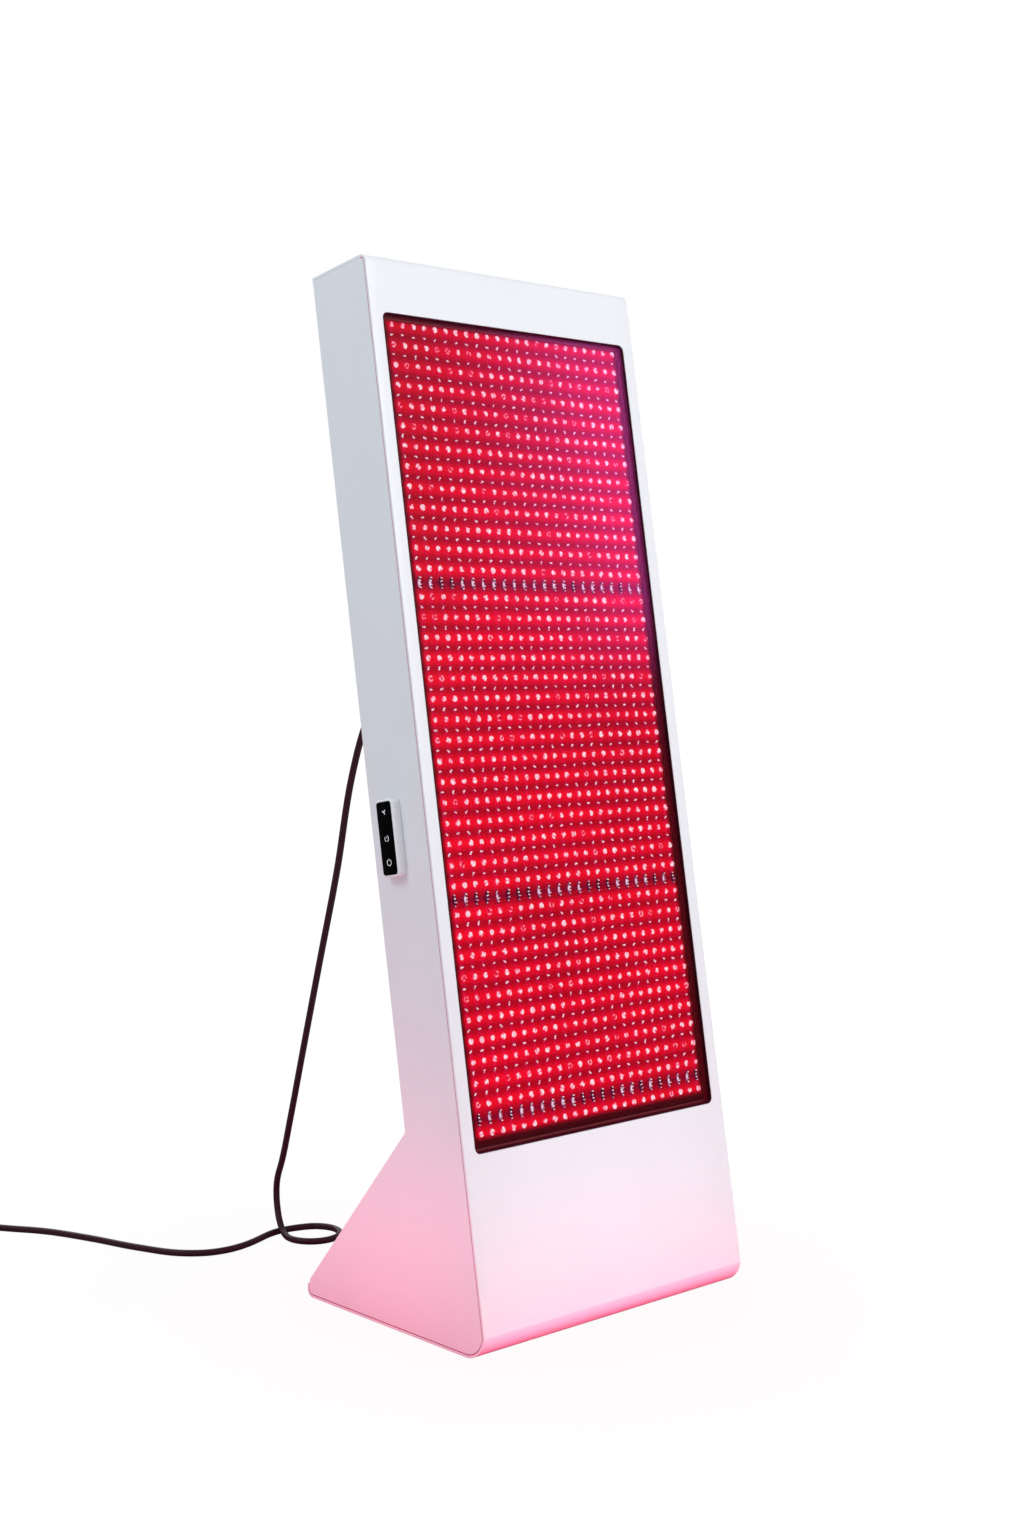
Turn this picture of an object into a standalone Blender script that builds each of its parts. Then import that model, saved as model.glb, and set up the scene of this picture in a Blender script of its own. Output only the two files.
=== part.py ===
"""A leaning floor panel of red and near-infrared lights, in bent white sheet metal with a wedge foot.

Three frames are used. The cord lies in the world. The casing stands in the panel frame, whose origin is
the casing's lower front corner: X runs across, Y to the back and Z up. What the leaning slab holds is
placed in the slab frame, which shares that origin and is turned with the slab: X runs across, Y goes
into the slab from its front face, and Z runs up along the face.
"""

import math

import bmesh
import bpy
from mathutils import Matrix, Vector

for item in list(bpy.data.objects):
    bpy.data.objects.remove(item, do_unlink=True)

# Driving dimensions, in metres
PANEL_WIDTH = 0.360
FACE_LENGTH = 1.065
SLAB_DEPTH = 0.085
LEAN = math.radians(9.6)
KNEE_UP_SLAB = 0.216
FOOT_DEPTH = 0.279
FOOT_REAR_HEIGHT = 0.018
SIDE_MARGIN = 0.014
HEAD_MARGIN = 0.057
WINDOW_FROM_BASE = 0.193

# Sheet metal and fits
SHEET = 0.0025
COVER_SHEET = 0.0015
GAP = 0.0003
TOP_BEND = 0.008
BASE_BEND = 0.024
REAR_BEND = 0.008
HEEL_BEND = 0.007
KNEE_FILLET = 0.006
LIP_HEIGHT = 0.014
BEND_STEPS = 6
OVERRUN = 0.002

# Window, pane and recess
WINDOW_CORNER = 0.007
CORNER_STEPS = 4
GASKET_WALL = 0.0012
GASKET_SET_BACK = 0.0003
PANE_SET_BACK = 0.0012
PANE_THICKNESS = 0.002
RECESS_LEDGE = 0.0025
RECESS_FRAME_WIDTH = 0.013
BOARD_SET_BACK = 0.008
BOARD_THICKNESS = 0.0016
BOARD_OVERHANG = 0.002

# Rows of emitters: red groups from the top down, with a near-infrared row between two groups
COLUMNS = 23
ROW_GROUPS = (13, 15, 10, 1)
INFRARED_GAP_SHARE = 1.38
LED_SIDE_MARGIN = 0.0137
LED_HEAD_MARGIN = 0.010
LED_FOOT_MARGIN = 0.0175
LENS_SHEET = 0.001
LENS_EDGE_CLEARANCE = 0.002
LENS_WIDTH = 0.005
LENS_TOP_SHARE = 0.6
LENS_HEIGHT = 0.0032
INFRARED_LENS_WIDTH = 0.006

# Heat sinks and the chassis
SINK_BASE = 0.004
SINK_EDGE_CLEARANCE = 0.0052
FIN_HEIGHT = 0.020
FIN_THICKNESS = 0.0015
FIN_COUNT = 14
RAIL_SHEET = 0.0015
RAIL_FLANGE = 0.018
RAIL_BASE_CLEARANCE = 0.030
RAIL_HEAD_CLEARANCE = 0.012
FIN_CLEARANCE = 0.003
BAR_SHEET = 0.002
BAR_CLEARANCE = 0.0018
BAR_HEIGHT = 0.050
BAR_SHARES = {"lower": 0.235, "middle": 0.469}

# Power supplies and the control board
DRIVER_WIDTH = 0.090
DRIVER_LENGTH = 0.180
DRIVER_SPACING = 0.130
DRIVER_REAR_CLEARANCE = 0.006
DRIVER_AT_SHARE = 0.295
CONTROL_BOARD_WIDTH = 0.120
CONTROL_BOARD_LENGTH = 0.060
BRACKET_HEIGHT = 0.006
BRACKET_SHEET = 0.0012

# Fans
FAN_SIZE = 0.080
FAN_DEPTH = 0.025
FAN_WALL = 0.002
FAN_HUB_RADIUS = 0.016
FAN_HUB_DEPTH = 0.016
FAN_BASE_DEPTH = 0.003
FAN_STRUT = 0.004
FAN_PIN_RADIUS = 0.0015
FAN_PIN_LENGTH = 0.010
FAN_RUNNING_GAP = 0.0012
FAN_BLADE_COUNT = 7
FAN_BLADE_CHORD = 0.014
FAN_BLADE_THICKNESS = 0.0014
FAN_BLADE_PITCH = math.radians(35)
FAN_SHARES = {"lower": 0.728, "upper": 0.869}

# Rear cover and its vents
COVER_SCREW_RADIUS = 0.0015
COVER_SCREW_HEAD_RADIUS = 0.0035
COVER_SCREW_HEAD_HEIGHT = 0.002
COVER_SCREW_SHARES = (0.235, 0.56, 0.955)
VENT_SLOT_HEIGHT = 0.004
VENT_SLOT_PITCH = 0.009
VENT_SLOT_WIDTH = 0.070
VENT_COLUMN_SPACING = 0.100
VENT_AT_SHARE = 0.30
VENT_ROWS = 7
FOOT_VENT_ROWS = 4

# Mains inlet and rocker switch
INLET_ACROSS = -0.105
INLET_SHARE = 0.6131
INLET_FLANGE_WIDTH = 0.048
INLET_FLANGE_HEIGHT = 0.025
INLET_FLANGE = 0.0025
INLET_BODY_WIDTH = 0.028
INLET_BODY_HEIGHT = 0.020
INLET_BODY_DEPTH = 0.024
SOCKET_WALL = 0.0018
SOCKET_DEPTH = 0.018
SWITCH_FROM_INLET = 0.044
SWITCH_WIDTH = 0.0185
SWITCH_HEIGHT = 0.0265
SWITCH_BEZEL = 0.002
SWITCH_WALL = 0.0025
SWITCH_BODY_DEPTH = 0.014
ROCKER_SIDE_CLEARANCE = 0.0005
ROCKER_END_CLEARANCE = 0.0012
ROCKER_CREST = 0.0046
ROCKER_DIP = 0.0030
ROCKER_KEEL = 0.005
ROCKER_TILT = math.radians(10)

# Cord connector, strain relief and plug
NOSE_CLEARANCE = 0.0005
CONNECTOR_LENGTH = 0.016
CONNECTOR_WIDTH = 0.028
CONNECTOR_HEIGHT = 0.020
CONNECTOR_TAPER_SHARE = 0.7
RELIEF_LENGTH = 0.022
RELIEF_RADIUS = 0.0066
RELIEF_TIP_RADIUS = 0.0048
PLUG_LENGTH = 0.046
PLUG_WIDTH = 0.026
PLUG_HEIGHT = 0.0256
PLUG_NECK_SHARE = 0.5
PLUG_NECK_LENGTH = 0.014
BLADE_LENGTH = 0.017
BLADE_WIDTH = 0.0063
BLADE_THICKNESS = 0.0015
BLADE_SPACING = 0.0127
EARTH_PIN_RADIUS = 0.0024
EARTH_PIN_DROP = 0.0065
BLADE_RAISE = 0.004

# Control pod on the left side
POD_UP_SLAB_SHARE = 0.4698
POD_INTO_SLAB = 0.0512
POD_LENGTH = 0.0755
POD_WIDTH = 0.0265
POD_PROUD = 0.010
POD_CORNER = 0.0055
POD_RIM = 0.0021
POD_EDGE = 0.0018
POD_GLASS_THICKNESS = 0.0012
POD_GLASS_PROUD = 0.0002
POD_WALL = 0.0014
POD_BOARD_THICKNESS = 0.0012
POD_BOARD_CLEARANCE = 0.0006
CABLE_HOLE_RADIUS = 0.0032
CABLE_SIZE = 0.0032
MAINS_CABLE_SIZE = 0.0064
CABLE_STEP_SHARE = 5

# Foot
PAD_RADIUS = 0.011
PAD_HEIGHT = 0.002
PAD_STEM_RADIUS = 0.003
PAD_FROM_SIDE = 0.040
PAD_FROM_FRONT = 0.055
PAD_FROM_REAR = 0.032
PLATE_THICKNESS = 0.005
PLATE_FROM_SIDE = 0.074
PLATE_FROM_FRONT = 0.075
PLATE_FROM_REAR = 0.020
GUSSET_THICKNESS = 0.002
GUSSET_FROM_PLATE_END = 0.024
GUSSET_TOE = 0.030
GUSSET_CREST = 0.130
BOLT_RADIUS = 0.003
BOLT_HEAD_RADIUS = 0.005
BOLT_HEAD_HEIGHT = 0.003

# Mains cord: its route from the strain relief to the coil is a list of chosen points in the world
CORD_DIAMETER = 0.0074
CORD_STEP_SHARE = 2.6
CORD_ROUTE = (
    (-0.0999, 0.1100, 0.6200),
    (-0.0998, 0.1157, 0.6162),
    (-0.0993, 0.1215, 0.6098),
    (-0.0983, 0.1403, 0.5796),
    (-0.0950, 0.1615, 0.5370),
    (-0.0865, 0.1994, 0.4330),
    (-0.0781, 0.2420, 0.3297),
    (-0.0694, 0.2858, 0.2227),
    (-0.0624, 0.3208, 0.1366),
    (-0.0577, 0.3440, 0.0830),
    (-0.0561, 0.3552, 0.0608),
    (-0.0553, 0.3581, 0.0457),
    (-0.0566, 0.3549, 0.0300),
    (-0.0602, 0.3462, 0.0168),
    (-0.0649, 0.3331, 0.0075),
    (-0.0701, 0.3156, 0.0038),
    (-0.0697, 0.3012, 0.0038),
    (-0.0628, 0.2885, 0.0038),
    (-0.0509, 0.2803, 0.0038),
    (-0.0366, 0.2784, 0.0038),
    (-0.0229, 0.2832, 0.0038),
    (-0.0130, 0.2937, 0.0038),
    (-0.0088, 0.3076, 0.0038),
    (-0.0115, 0.3218, 0.0038),
    (-0.0203, 0.3333, 0.0038),
    (-0.0318, 0.3391, 0.0038),
    (-0.0440, 0.3424, 0.0038),
    (-0.0590, 0.3445, 0.0038),
    (-0.0755, 0.3420, 0.0038),
    (-0.0960, 0.3340, 0.0038),
    (-0.1200, 0.3256, 0.0038),
    (-0.1456, 0.3226, 0.0038),
    (-0.1700, 0.3285, 0.0038),
    (-0.1903, 0.3448, 0.0038),
    (-0.2161, 0.3975, 0.0038),
    (-0.2365, 0.4632, 0.0038),
    (-0.2600, 0.5226, 0.0038),
    (-0.2920, 0.5708, 0.0040),
    (-0.3060, 0.5919, 0.0046),
)
COIL_START = (-0.3169, 0.6083, 0.0050)
COIL_HEADING = math.radians(123.6)
COIL_TURNS = 4.4
COIL_TURN_POINTS = 24
COIL_RADIUS = 0.046
COIL_PITCH = 0.0079
COIL_CLIMB_SHARE = 0.5
COIL_TAIL = 0.036
TIE_WIDTH = 0.012
TIE_THICKNESS = 0.001
TIE_CLEARANCE = 0.0003

# Facets of the round pieces
ROUND_SIDES = 12
SMALL_SIDES = 8
FAN_SIDES = 24

# Sizes that follow
CENTRE_Y = (BASE_BEND / math.tan((math.pi / 2 - LEAN) / 2) - BASE_BEND + FOOT_DEPTH) / 2
WINDOW_WIDTH = PANEL_WIDTH - 2 * SIDE_MARGIN
WINDOW_HEIGHT = FACE_LENGTH - HEAD_MARGIN - WINDOW_FROM_BASE
WINDOW_MIDDLE = WINDOW_FROM_BASE + WINDOW_HEIGHT / 2
COLUMN_PITCH = (WINDOW_WIDTH - 2 * LED_SIDE_MARGIN) / (COLUMNS - 1)
ROW_STEPS = sum(count - 1 for count in ROW_GROUPS) + (len(ROW_GROUPS) - 1) * INFRARED_GAP_SHARE
ROW_PITCH = (WINDOW_HEIGHT - LED_HEAD_MARGIN - LED_FOOT_MARGIN) / ROW_STEPS
PANE_BACK = PANE_SET_BACK + PANE_THICKNESS
BOARD_BACK = BOARD_SET_BACK + BOARD_THICKNESS
SINK_FRONT = BOARD_BACK + GAP
FIN_START = SINK_FRONT + SINK_BASE
FIN_END = FIN_START + FIN_HEIGHT
PLATE_INSIDE = PANEL_WIDTH / 2 - SHEET
COVER_FRONT = SLAB_DEPTH - COVER_SHEET
BAR_FRONT = FIN_END + BAR_CLEARANCE
BAR_BACK = BAR_FRONT + BAR_SHEET
RAIL_WEB_INSIDE = PLATE_INSIDE - GAP - RAIL_SHEET
RAIL_LOW = RAIL_BASE_CLEARANCE
RAIL_HIGH = FACE_LENGTH - RAIL_HEAD_CLEARANCE
INLET_UP_SLAB = INLET_SHARE * FACE_LENGTH
POD_UP_SLAB = POD_UP_SLAB_SHARE * FACE_LENGTH


def finish(name, colour, roughness, metallic=0.0, glow=0.0):
    """A plain material; a glow lights it in its own colour."""
    made = bpy.data.materials.new(name)
    made.use_nodes = True
    shader = made.node_tree.nodes["Principled BSDF"]
    shader.inputs["Base Color"].default_value = (*colour, 1.0)
    shader.inputs["Roughness"].default_value = roughness
    shader.inputs["Metallic"].default_value = metallic
    shader.inputs["Emission Color"].default_value = (*colour, 1.0)
    shader.inputs["Emission Strength"].default_value = glow
    return made


WHITE_PAINT = finish("white_paint", (0.88, 0.89, 0.92), 0.38)
BLACK_PLASTIC = finish("black_plastic", (0.015, 0.015, 0.017), 0.45)
BLACK_RUBBER = finish("black_rubber", (0.02, 0.02, 0.02), 0.8)
CLEAR_ACRYLIC = finish("clear_acrylic", (0.95, 0.88, 0.9), 0.05)
BOARD_RED = finish("board_red", (0.30, 0.005, 0.012), 0.4)
RED_LENS = finish("red_lens", (1.0, 0.02, 0.05), 0.15, glow=2.0)
ALUMINIUM = finish("aluminium", (0.75, 0.76, 0.78), 0.35, metallic=1.0)
STEEL = finish("zinc_steel", (0.62, 0.63, 0.65), 0.4, metallic=1.0)
BOARD_GREEN = finish("board_green", (0.03, 0.18, 0.08), 0.45)
WHITE_PLASTIC = finish("white_plastic", (0.90, 0.90, 0.92), 0.3)
BLACK_GLASS = finish("black_glass", (0.004, 0.004, 0.005), 0.05)
CORD_JACKET = finish("cord_jacket", (0.03, 0.008, 0.014), 0.5)
WIRE_JACKET = finish("wire_jacket", (0.05, 0.05, 0.055), 0.5)


def new_frame(name, location, turn=0.0, parent=None):
    """An empty that pieces are placed in, turned about X."""
    empty = bpy.data.objects.new(name, None)
    bpy.context.collection.objects.link(empty)
    empty.parent = parent
    empty.location = location
    empty.rotation_euler.x = turn
    return empty


PANEL = new_frame("panel_frame", ((POD_PROUD + POD_GLASS_PROUD) / 2, -CENTRE_Y, PAD_HEIGHT))
SLAB = new_frame("slab_frame", (0, 0, 0), -LEAN, PANEL)


def place(name, bm, material, parent=None, location=(0, 0, 0), smooth=False):
    """Make an object of a mesh under construction."""
    bmesh.ops.recalc_face_normals(bm, faces=bm.faces)
    mesh = bpy.data.meshes.new(name)
    bm.to_mesh(mesh)
    bm.free()
    mesh.materials.append(material)
    if smooth:
        mesh.shade_smooth()
        mesh.set_sharp_from_angle(angle=math.radians(40))
    made = bpy.data.objects.new(name, mesh)
    bpy.context.collection.objects.link(made)
    made.parent = parent
    made.location = location
    return made


def combine(target, operation, bm, location=(0, 0, 0), parent=None):
    """Cut a shape from a piece, or join it on; the shape stays as a hidden wire guide."""
    guide = place(f"{target.name}_{operation.lower()}", bm, target.data.materials[0], parent or target.parent)
    guide.location = location
    guide.hide_render = True
    guide.display_type = "WIRE"
    modifier = target.modifiers.new(operation.lower(), "BOOLEAN")
    modifier.operation = operation
    modifier.object = guide


def cut(target, bm, location=(0, 0, 0), parent=None):
    combine(target, "DIFFERENCE", bm, location, parent)


def join(target, bm, location=(0, 0, 0), parent=None):
    combine(target, "UNION", bm, location, parent)


def add_block(bm, low, high):
    """A box between two corners."""
    low, high = Vector(low), Vector(high)
    centre = Matrix.Translation((low + high) / 2)
    bmesh.ops.create_cube(bm, size=1, matrix=centre @ Matrix.Diagonal((*(high - low), 1)))
    return bm


def block(low, high):
    return add_block(bmesh.new(), low, high)


TURN_TO = {
    "X": Matrix.Rotation(math.pi / 2, 4, "Y"),
    "Y": Matrix.Rotation(-math.pi / 2, 4, "X"),
    "Z": Matrix.Identity(4),
}


def add_rod(bm, axis, start, length, radius, sides, tip_radius=None):
    """A rod or cone that starts at a point and runs along +X, +Y or +Z."""
    turn = TURN_TO[axis]
    middle = Vector(start) + turn @ Vector((0, 0, length / 2))
    bmesh.ops.create_cone(
        bm,
        cap_ends=True,
        segments=sides,
        radius1=radius,
        radius2=radius if tip_radius is None else tip_radius,
        depth=length,
        matrix=Matrix.Translation(middle) @ turn,
    )
    return bm


def rod(axis, start, length, radius, sides, tip_radius=None):
    return add_rod(bmesh.new(), axis, start, length, radius, sides, tip_radius)


def prism(outline, axis, low, high):
    """Extrude a closed outline along an axis, from low to high."""
    spot = {
        "X": lambda a, b: (low, a, b),
        "Y": lambda a, b: (a, low, b),
        "Z": lambda a, b: (a, b, low),
    }[axis]
    bm = bmesh.new()
    base = bm.faces.new([bm.verts.new(spot(a, b)) for a, b in outline])
    grown = bmesh.ops.extrude_face_region(bm, geom=[base])
    moved = [item for item in grown["geom"] if isinstance(item, bmesh.types.BMVert)]
    shift = {"X": (high - low, 0, 0), "Y": (0, high - low, 0), "Z": (0, 0, high - low)}[axis]
    bmesh.ops.translate(bm, vec=shift, verts=moved)
    return bm


def bend(before, corner, after, radius, inset=0.0, steps=BEND_STEPS):
    """Points of a bend at a corner, on the line that lies inset to the left of the corners."""
    arrive = (corner - before).normalized()
    leave = (after - corner).normalized()
    left = Vector((-arrive.y, arrive.x))
    if not radius:
        next_left = Vector((-leave.y, leave.x))
        return [corner + (left + next_left) * inset / (1 + left.dot(next_left))]
    turn = math.atan2(arrive.cross(leave), arrive.dot(leave))
    side = math.copysign(1, turn)
    centre = corner - arrive * radius * math.tan(abs(turn) / 2) + left * radius * side
    spoke = -left * side * (radius - inset * side)
    return [centre + Matrix.Rotation(turn * step / steps, 2) @ spoke for step in range(steps + 1)]


def bent_line(corners, radii, inset):
    """An open line through corners, inset to its left, with a bend at each inner corner."""
    corners = [Vector(corner) for corner in corners]
    first, last = (corners[1] - corners[0]).normalized(), (corners[-1] - corners[-2]).normalized()
    points = [corners[0] + Vector((-first.y, first.x)) * inset]
    for index, radius in enumerate(radii, start=1):
        points += bend(corners[index - 1], corners[index], corners[index + 1], radius, inset)
    return points + [corners[-1] + Vector((-last.y, last.x)) * inset]


def bent_sheet(corners, radii, thickness):
    """The closed outline of a bent sheet whose outer side runs through the corners."""
    return bent_line(corners, radii, 0.0) + bent_line(corners, radii, thickness)[::-1]


def rounded_outline(corners, radii):
    """A closed outline with a bend at each corner."""
    corners = [Vector(corner) for corner in corners]
    points = []
    for index, radius in enumerate(radii):
        after = corners[(index + 1) % len(corners)]
        points += bend(corners[index - 1], corners[index], after, radius)
    return points


def rounded_rectangle(width, height, radius, steps=CORNER_STEPS):
    """A closed rectangle about the origin with round corners."""
    corners = [Vector((x * width / 2, y * height / 2)) for x, y in ((1, -1), (1, 1), (-1, 1), (-1, -1))]
    points = []
    for index, corner in enumerate(corners):
        points += bend(corners[index - 1], corner, corners[(index + 1) % 4], radius, steps=steps)
    return points


def from_slab(into, up):
    """The panel frame's Y and Z of a place in the slab."""
    return Vector((
        into * math.cos(LEAN) + up * math.sin(LEAN),
        up * math.cos(LEAN) - into * math.sin(LEAN),
    ))


def slab_above(into, height):
    """How far up the slab a place at that depth reaches a height over the casing's underside."""
    return (height + into * math.sin(LEAN)) / math.cos(LEAN)


# Casing


def cable_hole(width, start):
    """A round hole for the pod's cable, through a wall across the slab."""
    return rod("X", (start, POD_INTO_SLAB, POD_UP_SLAB), width, CABLE_HOLE_RADIUS, ROUND_SIDES)


def pad_places():
    reach = PANEL_WIDTH / 2 - PAD_FROM_SIDE
    return [(x, y) for x in (-reach, reach) for y in (PAD_FROM_FRONT, FOOT_DEPTH - PAD_FROM_REAR)]


def front_shell():
    """One sheet: over the top, down the face, under the base and up behind the heel."""
    corners = (
        from_slab(SLAB_DEPTH, FACE_LENGTH),
        from_slab(0, FACE_LENGTH),
        (0, 0),
        (FOOT_DEPTH, 0),
        (FOOT_DEPTH, LIP_HEIGHT),
    )
    outline = bent_sheet(corners, (TOP_BEND, BASE_BEND, REAR_BEND), SHEET)
    shell = place("front_shell", prism(outline, "X", -PANEL_WIDTH / 2, PANEL_WIDTH / 2), WHITE_PAINT, PANEL)
    window = rounded_rectangle(WINDOW_WIDTH, WINDOW_HEIGHT, WINDOW_CORNER)
    cut(shell, prism(window, "Y", -OVERRUN, SHEET + OVERRUN), (0, 0, WINDOW_MIDDLE), SLAB)
    holes = bmesh.new()
    for x, y in pad_places():
        add_rod(holes, "Z", (x, y, -OVERRUN), SHEET + 2 * OVERRUN, PAD_STEM_RADIUS + GAP, SMALL_SIDES)
    cut(shell, holes)


def side_plates():
    """Flat plates set inside the bent sheet, with the knee where slab and foot meet."""
    skin = SHEET + GAP
    corners = (
        from_slab(skin, slab_above(skin, skin)),
        (FOOT_DEPTH - skin, skin),
        (FOOT_DEPTH - skin, FOOT_REAR_HEIGHT),
        from_slab(SLAB_DEPTH, KNEE_UP_SLAB),
        from_slab(SLAB_DEPTH, FACE_LENGTH - skin),
        from_slab(skin, FACE_LENGTH - skin),
    )
    radii = (BASE_BEND - skin, REAR_BEND - skin, HEEL_BEND, KNEE_FILLET, 0, TOP_BEND - skin)
    outline = rounded_outline(corners, radii)
    edge = PANEL_WIDTH / 2
    place("side_plate_right", prism(outline, "X", edge - SHEET, edge), WHITE_PAINT, PANEL)
    left = place("side_plate_left", prism(outline, "X", -edge, SHEET - edge), WHITE_PAINT, PANEL)
    cut(left, cable_hole(SHEET + 2 * OVERRUN, -edge - OVERRUN), parent=SLAB)


def add_slots(bm, width, rows, middle, columns):
    """Level vent slots through the cover, in columns."""
    for column in columns:
        for row in range(rows):
            up = middle + (row - (rows - 1) / 2) * VENT_SLOT_PITCH
            low = (column - width / 2, COVER_FRONT - OVERRUN, up - VENT_SLOT_HEIGHT / 2)
            high = (column + width / 2, SLAB_DEPTH + OVERRUN, up + VENT_SLOT_HEIGHT / 2)
            add_block(bm, low, high)


def add_fan_slots(bm, middle):
    """Slots in the round of a fan."""
    radius = FAN_SIZE / 2 - FAN_WALL
    rows = int((radius - VENT_SLOT_HEIGHT) / VENT_SLOT_PITCH)
    for row in range(-rows, rows + 1):
        up = row * VENT_SLOT_PITCH
        half = math.sqrt(radius**2 - (abs(up) + VENT_SLOT_HEIGHT / 2) ** 2)
        low = (-half, COVER_FRONT - OVERRUN, middle + up - VENT_SLOT_HEIGHT / 2)
        high = (half, SLAB_DEPTH + OVERRUN, middle + up + VENT_SLOT_HEIGHT / 2)
        add_block(bm, low, high)


def screw_places():
    across = RAIL_WEB_INSIDE - RAIL_FLANGE / 2
    return [(x, share * FACE_LENGTH) for x in (-across, across) for share in COVER_SCREW_SHARES]


def screw_holes():
    bm = bmesh.new()
    start = COVER_FRONT - GAP - RAIL_SHEET - OVERRUN
    for x, up in screw_places():
        add_rod(bm, "Y", (x, start, up), SLAB_DEPTH + OVERRUN - start, COVER_SCREW_RADIUS + GAP, SMALL_SIDES)
    return bm


def rear_cover():
    """The flat back of the slab, with the fans' slots, vents, screw holes and two cut-outs."""
    half = PLATE_INSIDE - GAP
    low = (-half, COVER_FRONT, KNEE_UP_SLAB + GAP)
    high = (half, SLAB_DEPTH, FACE_LENGTH - SHEET - GAP)
    cover = place("rear_cover", block(low, high), WHITE_PAINT, SLAB)
    openings = screw_holes()
    for share in FAN_SHARES.values():
        add_fan_slots(openings, share * FACE_LENGTH)
    columns = (-VENT_COLUMN_SPACING, 0.0, VENT_COLUMN_SPACING)
    add_slots(openings, VENT_SLOT_WIDTH, VENT_ROWS, VENT_AT_SHARE * FACE_LENGTH, columns)
    add_block(
        openings,
        (INLET_ACROSS - INLET_BODY_WIDTH / 2 - GAP, COVER_FRONT - OVERRUN,
         INLET_UP_SLAB - INLET_BODY_HEIGHT / 2 - GAP),
        (INLET_ACROSS + INLET_BODY_WIDTH / 2 + GAP, SLAB_DEPTH + OVERRUN,
         INLET_UP_SLAB + INLET_BODY_HEIGHT / 2 + GAP),
    )
    body_width, body_height = SWITCH_WIDTH - SWITCH_WALL, SWITCH_HEIGHT - SWITCH_WALL
    across = INLET_ACROSS + SWITCH_FROM_INLET
    add_block(
        openings,
        (across - body_width / 2 - GAP, COVER_FRONT - OVERRUN, INLET_UP_SLAB - body_height / 2 - GAP),
        (across + body_width / 2 + GAP, SLAB_DEPTH + OVERRUN, INLET_UP_SLAB + body_height / 2 + GAP),
    )
    cut(cover, openings)


def foot_slope():
    """Both ends of the foot's slanted back, the way up it and the way into the foot."""
    knee = from_slab(SLAB_DEPTH, KNEE_UP_SLAB)
    heel = Vector((FOOT_DEPTH - SHEET - GAP, FOOT_REAR_HEIGHT))
    slope = (knee - heel).normalized()
    return knee, heel, slope, Vector((-slope.y, slope.x))


def foot_cover():
    """The slanted back of the foot, turned down behind the lip of the base."""
    skin = SHEET + GAP
    knee, heel, slope, _ = foot_slope()
    corners = ((FOOT_DEPTH - skin, REAR_BEND), heel, knee - slope * GAP)
    half = PLATE_INSIDE - GAP
    outline = bent_sheet(corners, (HEEL_BEND,), COVER_SHEET)
    cover = place("foot_cover", prism(outline, "X", -half, half), WHITE_PAINT, PANEL)
    middle = (heel + knee) / 2
    vents = bmesh.new()
    for row in range(FOOT_VENT_ROWS):
        along = (row - (FOOT_VENT_ROWS - 1) / 2) * VENT_SLOT_PITCH
        spot = middle + slope * along
        turn = Matrix.Rotation(math.atan2(slope.y, slope.x), 4, "X")
        size = Matrix.Diagonal((VENT_SLOT_WIDTH * 2, VENT_SLOT_HEIGHT, COVER_SHEET * 2 + 2 * OVERRUN, 1))
        bmesh.ops.create_cube(vents, size=1, matrix=Matrix.Translation((0, *spot)) @ turn @ size)
    cut(cover, vents)


def rear_cover_screws():
    start = COVER_FRONT - GAP - RAIL_SHEET
    seat = SLAB_DEPTH + GAP
    shank = seat + COVER_SCREW_HEAD_HEIGHT / 2 - start
    for number, (x, up) in enumerate(screw_places(), start=1):
        body = rod("Y", (x, start, up), shank, COVER_SCREW_RADIUS, SMALL_SIDES)
        screw = place(f"rear_cover_screw_{number}", body, STEEL, SLAB)
        head = rod("Y", (x, seat, up), COVER_SCREW_HEAD_HEIGHT, COVER_SCREW_HEAD_RADIUS, SMALL_SIDES)
        join(screw, head)


# Window


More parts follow.
